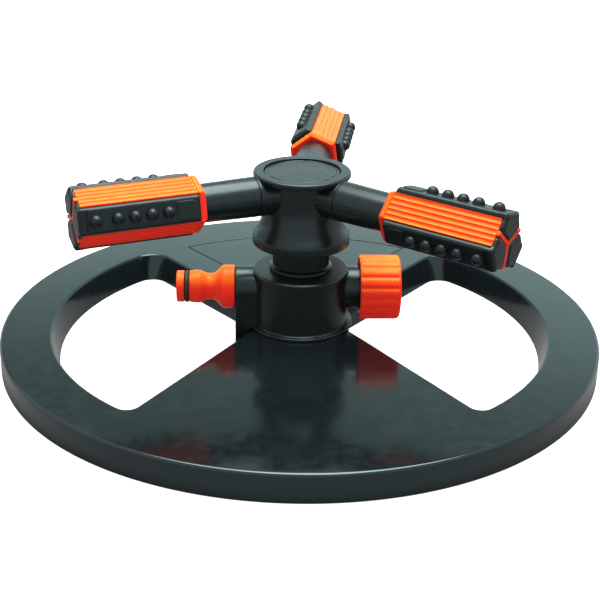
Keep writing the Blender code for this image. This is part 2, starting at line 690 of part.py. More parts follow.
def make_hub(rotor, arms):
    """The turning spool: flange, neck and bell, with a plain stub for each arm."""
    flange_foot = HUB_TOP - HUB_FLANGE_THICKNESS
    skirt_top = BELL_FOOT + BELL_SKIRT_HEIGHT
    flare_top = skirt_top + BELL_FLARE_HEIGHT
    inside = BELL_RADIUS - BELL_WALL
    flare = BELL_RADIUS - HUB_NECK_RADIUS
    hub = carried(turned("rotor_hub", [
        (0, HUB_TOP, 0), (HUB_FLANGE_RADIUS, HUB_TOP, HUB_FLANGE_ROUND),
        (HUB_FLANGE_RADIUS, flange_foot, HUB_FLANGE_ROUND), (HUB_NECK_RADIUS, flange_foot, 0),
        (HUB_NECK_RADIUS, flare_top, flare * 4),
        (BELL_RADIUS, skirt_top, flare / 2),
        (BELL_RADIUS, BELL_FOOT, SEAT_GAP * 3), (0, BELL_FOOT, 0),
    ], BODY_STEPS), rotor)
    for i, arm in enumerate(arms):
        join(hub, carried(cylinder(f"arm_stub_{i + 1}", ARM_ROOT_RADIUS, 0, ARM_STUB_REACH, TUBE_STEPS), arm))
    seat = HUB_TOP - HUB_CAP_SINK - HUB_CAP_THICKNESS - SEAT_GAP
    recess = HUB_CAP_RADIUS + SEAT_GAP
    cap_seat = carried(cylinder("cap_seat", recess, seat, HUB_TOP * 1.1, BODY_STEPS), rotor)
    chamber = carried(cylinder("hub_chamber", HUB_CHAMBER_RADIUS, HUB_WEB_TOP, HUB_TOP, 32), rotor)
    bearing = carried(cylinder("hub_bearing_bore", HUB_BORE_RADIUS, BELL_FOOT, HUB_TOP, 32), rotor)
    hollow_top = HUB_WEB_FOOT
    narrow = BUSH_BORE_RADIUS + max(WASHER_WIDTH, BUSH_FLANGE_WIDTH) + 4 * RUN_GAP
    bell_hollow = carried(turned("bell_hollow", [
        (0, hollow_top, 0), (narrow, hollow_top, 0), (inside, skirt_top, 0),
        (inside, BELL_FOOT - BELL_WALL, 0), (0, BELL_FOOT - BELL_WALL, 0),
    ], BODY_STEPS), rotor)
    cut(hub, cap_seat, chamber, bearing, bell_hollow)
    for i, arm in enumerate(arms):
        socket = cylinder(f"arm_socket_{i + 1}", ARM_PLUG_RADIUS + SEAT_GAP, 0, ARM_STUB_REACH * 1.1)
        cut(hub, carried(socket, arm))
    finish(hub, "black_abs")


def make_hub_cap(rotor):
    top = HUB_TOP - HUB_CAP_SINK
    foot = top - HUB_CAP_THICKNESS
    plug = HUB_CHAMBER_RADIUS - SEAT_GAP
    cap = turned("hub_cap", [
        (0, top, 0), (HUB_CAP_RADIUS, top, HUB_CAP_THICKNESS / 3), (HUB_CAP_RADIUS, foot, 0),
        (plug, foot, 0), (plug, foot - HUB_CAP_PLUG_HEIGHT, 0),
        (plug - HUB_CAP_PLUG_WALL, foot - HUB_CAP_PLUG_HEIGHT, 0), (plug - HUB_CAP_PLUG_WALL, foot, 0),
        (0, foot, 0),
    ], BODY_STEPS, segments=1)
    finish(carried(cap, rotor), "black_abs")
    bush = turned("bearing_bush", [
        (BUSH_OUTER_RADIUS, HUB_WEB_TOP, 0), (BUSH_OUTER_RADIUS, HUB_WEB_FOOT - SEAT_GAP, 0),
        (BUSH_BORE_RADIUS + BUSH_FLANGE_WIDTH, HUB_WEB_FOOT - SEAT_GAP, 0),
        (BUSH_BORE_RADIUS + BUSH_FLANGE_WIDTH, BUSH_FOOT, 0), (BUSH_BORE_RADIUS, BUSH_FOOT, 0),
        (BUSH_BORE_RADIUS, HUB_WEB_TOP, 0),
    ], TUBE_STEPS)
    finish(carried(bush, rotor), "white_acetal")


def make_arm(number, arm):
    root = ARM_STUB_REACH + SEAT_GAP
    plug_end = root - ARM_PLUG_LENGTH
    seal_middle = ARM_SHOULDER_REACH + HEAD_SEAL_SETBACK
    half = HEAD_SEAL_THICKNESS / 2 + SEAL_GAP
    seal_floor = JOURNAL_RADIUS - HEAD_SEAL_THICKNESS
    clip_low, clip_high = CLIP_START - SEAL_GAP, CLIP_START + CLIP_THICKNESS + SEAL_GAP
    clip_floor = JOURNAL_RADIUS - CLIP_DEPTH
    tube = turned(f"arm_tube_{number}", [
        (ARM_BORE_RADIUS, JOURNAL_END, 0), (JOURNAL_RADIUS, JOURNAL_END, 0),
        (JOURNAL_RADIUS, clip_high, 0), (clip_floor, clip_high, 0),
        (clip_floor, clip_low, 0), (JOURNAL_RADIUS, clip_low, 0),
        (JOURNAL_RADIUS, seal_middle + half, 0), (seal_floor, seal_middle + half, 0),
        (seal_floor, seal_middle - half, 0), (JOURNAL_RADIUS, seal_middle - half, 0),
        (JOURNAL_RADIUS, ARM_SHOULDER_REACH, 0), (ARM_TIP_RADIUS, ARM_SHOULDER_REACH, 0),
        (ARM_ROOT_RADIUS, root, 0), (ARM_PLUG_RADIUS, root, 0),
        (ARM_PLUG_RADIUS, plug_end, 0), (ARM_BORE_RADIUS, plug_end, 0),
    ], SMALL_STEPS)
    finish(carried(tube, arm), "black_abs")
    seal = seal_ring(f"head_seal_{number}", seal_floor + SEAL_GAP, HEAD_SEAL_THICKNESS, seal_middle)
    finish(carried(seal, arm), "black_rubber")
    clip = flat_washer(f"head_clip_{number}", clip_floor + SEAL_GAP, CLIP_OUTER_RADIUS,
                       CLIP_START, CLIP_THICKNESS)
    mouth = box(f"clip_mouth_{number}", (0, -CLIP_MOUTH / 2, CLIP_START - CLIP_THICKNESS),
                (CLIP_OUTER_RADIUS * 1.5, CLIP_MOUTH / 2, CLIP_START + 2 * CLIP_THICKNESS))
    carried(mouth, arm)
    cut(carried(clip, arm), mouth)
    finish(clip, "steel_zinc")


# Nozzle heads


def turned_point(x, y, turn):
    return x * math.cos(turn) - y * math.sin(turn), x * math.sin(turn) + y * math.cos(turn)


def head_outline():
    """Three fluted faces with a channel for a nozzle strip between each two."""
    outline = []
    flute = ORANGE_FACE_WIDTH / ORANGE_FLUTES
    half_channel = CHANNEL_WIDTH / 2
    for k in range(3):
        face_turn = math.tau * k / 3
        for i in range(ORANGE_FLUTES):
            start = -ORANGE_FACE_WIDTH / 2 + i * flute
            outline.append(turned_point(ORANGE_FACE_REACH, start, face_turn))
            for share in (0.3, 0.7):
                sunk = ORANGE_FACE_REACH - ORANGE_FLUTE_DEPTH
                outline.append(turned_point(sunk, start + share * flute, face_turn))
        outline.append(turned_point(ORANGE_FACE_REACH, ORANGE_FACE_WIDTH / 2, face_turn))
        channel_turn = face_turn + math.pi / 3
        for x, y in ((BLACK_FACE_REACH, -half_channel), (CHANNEL_FLOOR, -half_channel),
                     (CHANNEL_FLOOR, half_channel), (BLACK_FACE_REACH, half_channel)):
            outline.append(turned_point(x, y, channel_turn))
    return outline


def collar_outline(inset):
    outline = []
    for k in range(3):
        for x, y, turn in (
            (ORANGE_FACE_REACH - inset, -ORANGE_FACE_WIDTH / 2, 0),
            (ORANGE_FACE_REACH - inset, ORANGE_FACE_WIDTH / 2, 0),
        ):
            outline.append(turned_point(x, y, turn + math.tau * k / 3))
    return outline


def make_barrel(number, head):
    barrel = carried(loft(f"head_barrel_{number}", [
        (head_outline(), HEAD_START + HEAD_COLLAR_LENGTH / 2), (head_outline(), HEAD_END),
    ]), head)
    collar = loft(f"head_collar_{number}", [
        (collar_outline(HEAD_COLLAR_CHAMFER), HEAD_START),
        (collar_outline(0), HEAD_START + HEAD_COLLAR_CHAMFER),
        (collar_outline(0), HEAD_START + HEAD_COLLAR_LENGTH),
    ])
    join(barrel, carried(collar, head))
    for k in range(3):
        rib = box(f"end_rib_{number}_{k + 1}", (0, -END_RIB_WIDTH / 2, HEAD_END - HEAD_END_WALL / 2),
                  (ORANGE_FACE_REACH - ORANGE_FLUTE_DEPTH, END_RIB_WIDTH / 2, HEAD_END + END_RIB_HEIGHT))
        rib.rotation_euler.z = math.tau * k / 3
        join(barrel, carried(rib, head))
    chamber_end = HEAD_END - HEAD_END_WALL
    entry = ARM_TIP_RADIUS + RUN_GAP
    bore = turned(f"head_bore_{number}", [
        (0, chamber_end, 0), (HEAD_CHAMBER_RADIUS, chamber_end, 0),
        (HEAD_CHAMBER_RADIUS, HEAD_CHAMBER_START, 0), (HEAD_BORE_RADIUS, HEAD_CHAMBER_START, 0),
        (HEAD_BORE_RADIUS, HEAD_BORE_START, 0), (entry, HEAD_BORE_START, 0),
        (entry, HEAD_START - HEAD_ENTRY_DEPTH, 0), (0, HEAD_START - HEAD_ENTRY_DEPTH, 0),
    ], TUBE_STEPS)
    cut(barrel, carried(bore, head))
    for k in range(3):
        slot = box(f"water_slot_{number}_{k + 1}",
                   (0, -SLOT_WIDTH / 2, JOURNAL_END), (STRIP_REACH, SLOT_WIDTH / 2, HEAD_END - SLOT_END_MARGIN))
        slot.rotation_euler.z = math.tau * (k + 0.5) / 3
        cut(barrel, carried(slot, head))
    return finish(barrel, "orange_abs")


def strip_section():
    """The strip's cross-section: X out of the head, Y across it."""
    foot = CHANNEL_FLOOR + SEAT_GAP
    half = STRIP_WIDTH / 2
    return rounded([
        (foot, -half, 0), (STRIP_REACH, -half, STRIP_EDGE_ROUND),
        (STRIP_REACH, half, STRIP_EDGE_ROUND), (foot, half, 0),
    ], 1)


def lobe_outline(shrink):
    """The lobe over the head's end: a third of the end face, less the ribs between the lobes."""
    offset = END_RIB_WIDTH / 2 + SEAT_GAP
    apex = offset / math.sin(math.pi / 3)
    face = ORANGE_FACE_REACH - ORANGE_FLUTE_DEPTH
    far = face - apex * math.cos(math.pi / 3)
    rim = (apex + far * math.cos(math.pi / 3), far * math.sin(math.pi / 3))
    shoulder = (BLACK_FACE_REACH, STRIP_WIDTH / 2)
    crown = (STRIP_REACH, STRIP_WIDTH / 2 - STRIP_EDGE_ROUND)
    outline = [(apex, 0), (rim[0], -rim[1]), (shoulder[0], -shoulder[1]), (crown[0], -crown[1]),
               crown, shoulder, rim]
    middle = (STRIP_REACH + apex) / 2
    scale = 1 - shrink / middle
    return [(middle + (x - middle) * scale, y * scale) for x, y in outline]


def make_strip(name, head, turn):
    """One nozzle strip: a bar with a pad, a row of domed nozzles and a lobe over the head's end."""
    lobe_foot = HEAD_END + SEAT_GAP
    end = HEAD_END + LOBE_THICKNESS
    strip = loft(name, [(strip_section(), STRIP_START), (strip_section(), lobe_foot + LOBE_ROUND)])
    pad = box(f"{name}_pad", (CHANNEL_FLOOR + 2 * SEAT_GAP, -PAD_WIDTH / 2, STRIP_START + STRIP_EDGE_ROUND),
              (STRIP_REACH + PAD_HEIGHT, PAD_WIDTH / 2, STRIP_START + PAD_LENGTH))
    bevel = pad.modifiers.new("rounding", "BEVEL")
    bevel.width = PAD_HEIGHT * 0.8
    bevel.segments = 1
    lobe = loft(f"{name}_lobe", [
        (lobe_outline(0), lobe_foot), (lobe_outline(0), end - LOBE_ROUND),
        (lobe_outline(LOBE_ROUND / 3), end - LOBE_ROUND / 3), (lobe_outline(LOBE_ROUND), end),
    ])
    tools = [pad, lobe]
    places = [HEAD_START + DOME_FIRST + DOME_PITCH * i for i in range(DOME_ROW)]
    places.append(HEAD_END - DOME_LAST_MARGIN)
    for i, place in enumerate(places):
        tools.append(dome(f"{name}_nozzle_{i + 1}", DOME_RADIUS, (STRIP_REACH + DOME_LIFT, 0, place)))
    for piece in (strip, *tools):
        piece.parent = head
        piece.rotation_euler.z = turn
    join(strip, *tools)
    return finish(strip, "black_nozzle_abs")


def make_heads(heads):
    """The first head in full, and its mesh again on the other arms."""
    first = make_barrel(1, heads[0])
    strips = [make_strip(f"nozzle_strip_1_{k + 1}", heads[0], math.tau * (k + 0.5) / 3) for k in range(3)]
    for number, head in enumerate(heads[1:], 2):
        copy_of(first, f"head_barrel_{number}", head)
        for k, strip in enumerate(strips):
            copy = copy_of(strip, f"nozzle_strip_{number}_{k + 1}", head)
            copy.rotation_euler.z = strip.rotation_euler.z


def main():
    clear_scene()
    make_materials()
    rotor = axis_empty("rotor_axis", (0, 0, 0))
    inlet = axis_empty("inlet_axis", (0, 0, PORT_HEIGHT), ((0, 0, 1), (0, 1, 0), (-1, 0, 0)))
    outlet = axis_empty("outlet_axis", (0, 0, PORT_HEIGHT), ((0, 0, 1), (0, -1, 0), (1, 0, 0)))
    arms, heads = [], []
    for i in range(ARM_COUNT):
        azimuth = ARM_FIRST_AZIMUTH + math.tau * i / ARM_COUNT
        outward = Vector((math.cos(azimuth), math.sin(azimuth), 0))
        up = Vector((0, 0, 1))
        arm = axis_empty(f"arm_axis_{i + 1}", (0, 0, ARM_HEIGHT), (up, outward.cross(up), outward), rotor)
        head = axis_empty(f"head_axis_{i + 1}", (0, 0, 0), None, arm)
        head.rotation_euler.z = HEAD_TURNS[i % len(HEAD_TURNS)]
        arms.append(arm)
        heads.append(head)
    make_base()
    make_screws()
    make_body(inlet, outlet)
    make_inlet(inlet)
    make_end_cap(outlet)
    make_neck()
    make_hub(rotor, arms)
    make_hub_cap(rotor)
    for i, arm in enumerate(arms):
        make_arm(i + 1, arm)
    make_heads(heads)


main()
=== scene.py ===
# %% [markdown]
# # A three-arm garden sprinkler
#
# The sprinkler is almost all injection-moulded plastic: a round black base with two windows, a black
# water body with an orange hose nipple and an orange cap, and a rotor with three arms. Each arm
# carries an orange head with three black nozzle strips. This lesson dresses a plain solid model of
# it: every visible piece is built again with round edges, ribs, threads and spray holes, and every
# finish is made from nodes.

import math

import bmesh
import bpy
from mathutils import Matrix, Vector
from mathutils.geometry import tessellate_polygon
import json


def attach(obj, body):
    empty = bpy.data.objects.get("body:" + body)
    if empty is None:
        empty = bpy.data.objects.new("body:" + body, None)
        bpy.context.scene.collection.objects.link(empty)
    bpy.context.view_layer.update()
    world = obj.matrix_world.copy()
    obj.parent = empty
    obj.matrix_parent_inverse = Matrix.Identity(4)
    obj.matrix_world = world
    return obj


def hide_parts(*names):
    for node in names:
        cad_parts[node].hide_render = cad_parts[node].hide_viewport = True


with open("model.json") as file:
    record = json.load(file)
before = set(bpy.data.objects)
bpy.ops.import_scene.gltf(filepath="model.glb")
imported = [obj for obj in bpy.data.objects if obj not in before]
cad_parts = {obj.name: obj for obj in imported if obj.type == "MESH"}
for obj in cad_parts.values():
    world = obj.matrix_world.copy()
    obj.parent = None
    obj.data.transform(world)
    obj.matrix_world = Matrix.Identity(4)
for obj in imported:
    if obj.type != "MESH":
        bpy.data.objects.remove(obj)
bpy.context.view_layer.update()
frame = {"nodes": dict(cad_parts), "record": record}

# %% [markdown]
# ## The camera
#
# A product photograph is taken from far off with a long lens, so that the object keeps its shape.
# Here the lens is 78 mm on a 36 mm sensor, 63 cm in front of the axis and 30 cm above the ground. A
# camera looks along its own -Z, so its matrix is built from the right, up and backward directions.

# %% Camera
def photograph_camera(place, pitch, yaw, roll, lens):
    pitch, yaw, roll = math.radians(pitch), math.radians(yaw), math.radians(roll)
    forward = Vector((math.cos(pitch) * math.sin(yaw), math.cos(pitch) * math.cos(yaw), -math.sin(pitch)))
    level = Vector((math.cos(yaw), -math.sin(yaw), 0))
    upright = level.cross(forward)
    right = math.cos(roll) * level + math.sin(roll) * upright
    up = math.cos(roll) * upright - math.sin(roll) * level
    camera = bpy.data.objects.new("photograph_camera", bpy.data.cameras.new("photograph_camera"))
    camera.matrix_world = Matrix.Translation(place) @ Matrix((right, up, -forward)).transposed().to_4x4()
    camera.data.lens = lens
    camera.data.sensor_width = 36
    bpy.context.scene.collection.objects.link(camera)
    bpy.context.scene.camera = camera
    return camera


camera = photograph_camera((-0.0185, -0.6264, 0.3022), pitch=23.76, yaw=1.68, roll=0.87, lens=78.41)
print("camera at", [round(v, 4) for v in camera.location])

# %% [markdown]
# ## Colours and nodes
#
# Colours are picked on a screen, so they are written as sRGB hex. Blender's shaders work in linear
# light, and one function turns the one into the other. A second small function adds a node with its
# settings and links, which keeps each material as short as its idea.

# %% Colour and node helpers
def colour(hex_code):
    """Linear RGBA of an sRGB hex colour."""
    parts = [int(hex_code[i:i + 2], 16) / 255 for i in (1, 3, 5)]
    return (*[p / 12.92 if p <= 0.04045 else ((p + 0.055) / 1.055) ** 2.4 for p in parts], 1.0)


def connect(node, inputs):
    """Fills in inputs of a node: a value each, or another node's output socket to link from."""
    for name, value in inputs.items():
        if isinstance(value, bpy.types.NodeSocket):
            node.id_data.links.new(value, node.inputs[name])
        else:
            node.inputs[name].default_value = value


def add_node(tree, kind, inputs=None, **settings):
    """Adds a node with its settings and inputs."""
    node = tree.nodes.new(kind)
    for name, value in settings.items():
        setattr(node, name, value)
    connect(node, inputs or {})
    return node


def new_material(name):
    """An empty material: its tree, its Principled shader and itself."""
    material = bpy.data.materials.new(name)
    material.use_nodes = True
    tree = material.node_tree
    return tree, tree.nodes["Principled BSDF"], material


print("orange in linear light:", [round(v, 3) for v in colour("#ea3221")[:3]])

# %% [markdown]
# ## The studio
#
# The photograph has a pure white surround. The world is white to the camera and in reflections, and
# gives less light to the pieces themselves, so that black plastic stays black while its polished
# faces mirror the white. The floor is white to the camera and a mid grey to everything else, as the
# printed page and the real table were. One large softbox hangs overhead. Two small ones fill the
# shade from the left and from low in front, and no face mirrors them.
#
# A polished black face shows what it mirrors and little else, so its tones are set by a card behind
# the object. The card glows most near the floor and fades upwards, and the camera sees through it.

# %% World
WORLD_FILL = 0.4


def white_studio_world(fill):
    world = bpy.data.worlds.new("white_studio")
    bpy.context.scene.world = world
    world.use_nodes = True
    tree = world.node_tree
    tree.nodes.clear()
    path = add_node(tree, "ShaderNodeLightPath")
    seen = path.outputs["Is Camera Ray"]
    for ray in ("Is Glossy Ray", "Is Transmission Ray"):
        seen = add_node(tree, "ShaderNodeMath", {0: seen, 1: path.outputs[ray]},
                        operation="MAXIMUM").outputs[0]
    level = add_node(tree, "ShaderNodeMapRange", {"Value": seen, "To Min": fill, "To Max": 1.0})
    sky = add_node(tree, "ShaderNodeBackground", {
        "Color": colour("#ffffff"), "Strength": level.outputs["Result"]})
    add_node(tree, "ShaderNodeOutputWorld", {"Surface": sky.outputs[0]})


white_studio_world(WORLD_FILL)
bpy.context.scene.view_settings.view_transform = "Standard"
print("world fill", WORLD_FILL)

# %% Floor, card and softboxes
FLOOR_SIZE = 8.0
FLOOR_DROP = 0.0002
PAPER_GLOW = 0.8


def studio_sheet(name, corners, place, material):
    """A flat sheet of the studio."""
    mesh = bpy.data.meshes.new(name)
    mesh.from_pydata(corners, [], [(0, 1, 2, 3)])
    mesh.materials.append(material)
    sheet = bpy.data.objects.new(name, mesh)
    sheet.location = place
    bpy.context.scene.collection.objects.link(sheet)


def pale_floor(size):
    """White to the eye, with the shadow kept: paper that shines a little for the camera only."""
    half = size / 2
    tree, shader, material = new_material("white_backdrop_paper")
    seen = add_node(tree, "ShaderNodeLightPath").outputs["Is Camera Ray"]
    glow = add_node(tree, "ShaderNodeMath", {0: seen, 1: PAPER_GLOW}, operation="MULTIPLY")
    grey = add_node(tree, "ShaderNodeMix", {
        "Factor": seen, "A": colour("#7e7e7e"), "B": colour("#cbcbcb")}, data_type="RGBA")
    connect(shader, {"Base Color": grey.outputs["Result"], "Roughness": 0.9, "Specular IOR Level": 0.1,
                     "Emission Color": colour("#ffffff"), "Emission Strength": glow.outputs[0]})
    studio_sheet("studio_floor", [(-half, -half, 0), (half, -half, 0), (half, half, 0), (-half, half, 0)],
                 (0, 0, -FLOOR_DROP), material)


def softbox(name, place, target, size, power):
    light = bpy.data.lights.new(name, "AREA")
    light.shape = "RECTANGLE"
    light.size, light.size_y = size
    light.energy = power
    lamp = bpy.data.objects.new(name, light)
    lamp.location = place
    lamp.rotation_euler = (Vector(target) - Vector(place)).to_track_quat("-Z", "Y").to_euler()
    bpy.context.scene.collection.objects.link(lamp)
    return lamp


def graded_card(distance, height, width):
    """A card behind the object whose cool glow fades upwards. Only the polished faces mirror it."""
    half = width / 2
    tree, shader, material = new_material("graded_card_glow")
    spot = add_node(tree, "ShaderNodeTexCoord").outputs["Object"]
    spot = add_node(tree, "ShaderNodeSeparateXYZ", {"Vector": spot})
    # The glow reaches a little higher on the right.
    lean = add_node(tree, "ShaderNodeMath", {0: spot.outputs["X"], 1: -0.18, 2: spot.outputs["Z"]},
                    operation="MULTIPLY_ADD")
    fade = add_node(tree, "ShaderNodeMapRange", {
        "Value": lean.outputs[0], "From Min": 0.62, "From Max": 1.25, "To Min": 1.35, "To Max": 0.35},
        interpolation_type="SMOOTHSTEP")
    # Higher up it brightens again, which the front edge of the base mirrors.
    rise = add_node(tree, "ShaderNodeMapRange", {
        "Value": spot.outputs["Z"], "From Min": 1.28, "From Max": 1.5, "To Min": 0.0, "To Max": 0.55},
        interpolation_type="SMOOTHSTEP")
    level = add_node(tree, "ShaderNodeMath", {0: fade.outputs["Result"], 1: rise.outputs["Result"]},
                     operation="ADD")
    glow = add_node(tree, "ShaderNodeEmission", {"Color": colour("#e0ffff"), "Strength": level.outputs[0]})
    clear = add_node(tree, "ShaderNodeBsdfTransparent")
    seen = add_node(tree, "ShaderNodeLightPath").outputs["Is Camera Ray"]
    mixed = add_node(tree, "ShaderNodeMixShader", {0: seen, 1: glow.outputs[0], 2: clear.outputs[0]})
    tree.nodes.remove(shader)
    connect(tree.nodes["Material Output"], {"Surface": mixed.outputs[0]})
    studio_sheet("graded_card", [(-half, 0, 0), (half, 0, 0), (half, 0, height), (-half, 0, height)],
                 (0, distance, 0), material)


pale_floor(FLOOR_SIZE)
graded_card(distance=2.0, height=3.2, width=6.0)
softbox("overhead_softbox", (0.05, 0.05, 0.95), (0, 0, 0.05), size=(0.9, 0.7), power=24.0)
fills = [softbox("left_fill_softbox", (-0.9, -0.7, 0.45), (0, 0, 0.06), size=(0.5, 0.5), power=1.5),
         softbox("low_front_softbox", (0.1, -0.9, 0.02), (0, 0, 0.05), size=(1.2, 0.1), power=5.4)]
for fill in fills:
    fill.visible_glossy = False
print("floor, card and", 1 + len(fills), "softboxes")

# %% [markdown]
# ## Black ABS, injection moulded and polished
#
# ABS is the glossy plastic of toys and helmets. A polished mould gives it a mirror face that still
# ripples a little, because the plastic shrinks unevenly as it cools. A slow noise bends the
# reflections by that ripple, which is 4 to 14 mm long here and 0.02 mm high at most. Two more make
# the gloss a little uneven and cloud the colour. The nozzle strips have a fine grain as well.

# %% Moulded plastic
MM = 0.001
CLOUD_SIZE, SMEAR_SIZE, GRAIN_SIZE = 22.0, 6.0, 0.35


def moulded_plastic(name, hex_code, tint, roughness, spread, ripple_mm, ripple_size, ior,
                    grain_mm=0.0, mirror_tint="#ffffff"):
    """Moulded plastic: colour with a faint second tint, uneven gloss, and a slow ripple."""
    tree, shader, material = new_material(name)
    spot = add_node(tree, "ShaderNodeTexCoord").outputs["Object"]
    cloud = add_node(tree, "ShaderNodeTexNoise", {
        "Vector": spot, "Scale": 1 / (CLOUD_SIZE * MM), "Detail": 2.0})
    tinted = add_node(tree, "ShaderNodeMix", {
        "Factor": cloud.outputs["Fac"], "A": colour(hex_code), "B": colour(tint)}, data_type="RGBA")
    smear = add_node(tree, "ShaderNodeTexNoise", {
        "Vector": spot, "Scale": 1 / (SMEAR_SIZE * MM), "Detail": 2.0})
    gloss = add_node(tree, "ShaderNodeMapRange", {
        "Value": smear.outputs["Fac"], "From Min": 0.35, "From Max": 0.7, "To Min": roughness,
        "To Max": roughness + spread})
    ripple = add_node(tree, "ShaderNodeTexNoise", {
        "Vector": spot, "Scale": 1 / (ripple_size * MM), "Detail": 1.0})
    relief = add_node(tree, "ShaderNodeBump", {
        "Height": ripple.outputs["Fac"], "Strength": 1.0, "Distance": ripple_mm * MM})
    if grain_mm:
        grain = add_node(tree, "ShaderNodeTexNoise", {
            "Vector": spot, "Scale": 1 / (GRAIN_SIZE * MM), "Detail": 1.0})
        relief = add_node(tree, "ShaderNodeBump", {
            "Height": grain.outputs["Fac"], "Strength": 1.0, "Distance": grain_mm * MM,
            "Normal": relief.outputs["Normal"]})
    connect(shader, {"Base Color": tinted.outputs["Result"], "Roughness": gloss.outputs["Result"],
                     "Normal": relief.outputs["Normal"], "IOR": ior,
                     "Specular Tint": colour(mirror_tint)})
    return material


print("grain", GRAIN_SIZE, "mm, clouds", CLOUD_SIZE, "mm")

# %% The three black plastics
COOL = "#e2ffff"
polished_abs = moulded_plastic("polished_black_abs", "#0c1213", "#101617", roughness=0.10, spread=0.08,
                               ripple_mm=0.02, ripple_size=14.0, ior=1.52, mirror_tint=COOL)
body_abs = moulded_plastic("black_abs_moulded", "#0b0f10", "#101415", roughness=0.26, spread=0.06,
                           ripple_mm=0.01, ripple_size=9.0, ior=1.42, mirror_tint=COOL)
nozzle_abs = moulded_plastic("satin_black_nozzle_abs", "#0d1112", "#121617", roughness=0.34, spread=0.08,
                             ripple_mm=0.01, ripple_size=4.0, ior=1.38, grain_mm=0.006,
                             mirror_tint=COOL)
print("black plastics:", polished_abs.name, body_abs.name, nozzle_abs.name)

# %% [markdown]
# ## Orange ABS
#
# Orange pigment passes some red light, so that an orange moulding glows red where it is in shade.
# Subsurface scattering does that: red travels a few millimetres in the plastic, green hardly one,
# and blue stops at once. The faces that look up are painted amber as well: painted light, standing
# in for the light from above, which is strong enough to bring out the pigment's green. The last step
# paints it: it turns the colour to amber by the height of the surface normal, whichever way a head is turned.

# %% Orange plastic
GLOW_REACH = 6.0 * MM


def painted_light_from_above(shader, amber):
    """Painted light: turns the colour to amber on the faces that look up, where the light comes straight in.
    """
    tree = shader.id_data
    plain = shader.inputs["Base Color"].links[0].from_socket
    normal = add_node(tree, "ShaderNodeNewGeometry").outputs["Normal"]
    upward = add_node(tree, "ShaderNodeSeparateXYZ", {"Vector": normal}).outputs["Z"]
    share = add_node(tree, "ShaderNodeMapRange", {"Value": upward, "From Min": 0.25, "From Max": 0.88},
                     interpolation_type="SMOOTHSTEP")
    lit = add_node(tree, "ShaderNodeMix", {
        "Factor": share.outputs["Result"], "A": plain, "B": colour(amber)}, data_type="RGBA")
    connect(shader, {"Base Color": lit.outputs["Result"]})


orange_abs = moulded_plastic("glossy_orange_abs", "#ea3221", "#e42f1f", roughness=0.28, spread=0.06,
                             ripple_mm=0.01, ripple_size=7.0, ior=1.45)
orange_shader = orange_abs.node_tree.nodes["Principled BSDF"]
# Painted light: the faces that look up are painted amber, for the strong light from above.
painted_light_from_above(orange_shader, "#e86c12")
connect(orange_shader, {"Specular IOR Level": 0.12, "Subsurface Weight": 0.4,
                        "Subsurface Radius": (1.0, 0.10, 0.04), "Subsurface Scale": GLOW_REACH})
print("orange glow reaches", GLOW_REACH, "m")

# %% [markdown]
# ## Rubber, acetal and zinc-plated steel
#
# O-rings are moulded nitrile rubber: dark, matt and a little dusty. The thrust washers, the bush and
# the nut are turned from acetal, a milky hard plastic with fine tool rings round its axis. The screws
# and the clips are steel with bright zinc plating, whose crystals show as faint patches of unlike gloss.

# %% Small-part materials
DUST_SIZE, CRYSTAL_SIZE = 1.5, 0.8
# Real tool rings are 0.1 mm apart. These are 0.5 mm apart, so that they show.
RING_STEP = 0.5
# How far apart the rings of a wave texture are at scale 1.
WAVE_STEP = 0.314


def nitrile_rubber():
    tree, shader, material = new_material("moulded_nitrile_rubber")
    spot = add_node(tree, "ShaderNodeTexCoord").outputs["Object"]
    dust = add_node(tree, "ShaderNodeTexNoise", {
        "Vector": spot, "Scale": 1 / (DUST_SIZE * MM), "Detail": 4.0}).outputs["Fac"]
    dusty = add_node(tree, "ShaderNodeMix", {
        "Factor": dust, "A": colour("#101010"), "B": colour("#1d1c1b")}, data_type="RGBA")
    relief = add_node(tree, "ShaderNodeBump", {"Height": dust, "Strength": 1.0, "Distance": 0.03 * MM})
    connect(shader, {"Base Color": dusty.outputs["Result"], "Normal": relief.outputs["Normal"],
                     "Roughness": 0.62})
    return material


def turned_acetal():
    tree, shader, material = new_material("turned_white_acetal")
    spot = add_node(tree, "ShaderNodeTexCoord").outputs["Object"]
    rings = add_node(tree, "ShaderNodeTexWave", {"Vector": spot, "Scale": WAVE_STEP / (RING_STEP * MM)},
                     wave_type="RINGS", rings_direction="Z")
    relief = add_node(tree, "ShaderNodeBump", {
        "Height": rings.outputs["Fac"], "Strength": 1.0, "Distance": 0.02 * MM})
    connect(shader, {"Base Color": colour("#dedbd2"), "Normal": relief.outputs["Normal"],
                     "Roughness": 0.42, "Subsurface Weight": 0.2, "Subsurface Scale": 2 * MM})
    return material


def zinc_plated_steel():
    tree, shader, material = new_material("zinc_plated_steel")
    spot = add_node(tree, "ShaderNodeTexCoord").outputs["Object"]
    crystals = add_node(tree, "ShaderNodeTexVoronoi", {"Vector": spot, "Scale": 1 / (CRYSTAL_SIZE * MM)})
    gloss = add_node(tree, "ShaderNodeMapRange", {
        "Value": crystals.outputs["Distance"], "To Min": 0.22, "To Max": 0.42})
    connect(shader, {"Base Color": colour("#b9bcc0"), "Metallic": 1.0,
                     "Roughness": gloss.outputs["Result"]})
    return material


rubber, acetal, zinc_steel = nitrile_rubber(), turned_acetal(), zinc_plated_steel()
print("small-part materials:", rubber.name, acetal.name, zinc_steel.name)

# %% [markdown]
# ## Shapes
#
# Most of the sprinkler is round, so most pieces are a profile turned about an axis. The profile is a
# list of corners, each with the radius of its fillet, because a moulding never has a knife edge.
# Rings of points joined by quads make every other form too: the base's windows, the fluted heads and
# the ribbed cap are all stacks of outlines with as many points each.
#
# All shapes are in millimetres. A shape is a pair, its points and its faces, and only the function
# that makes a piece of it turns it into metres.

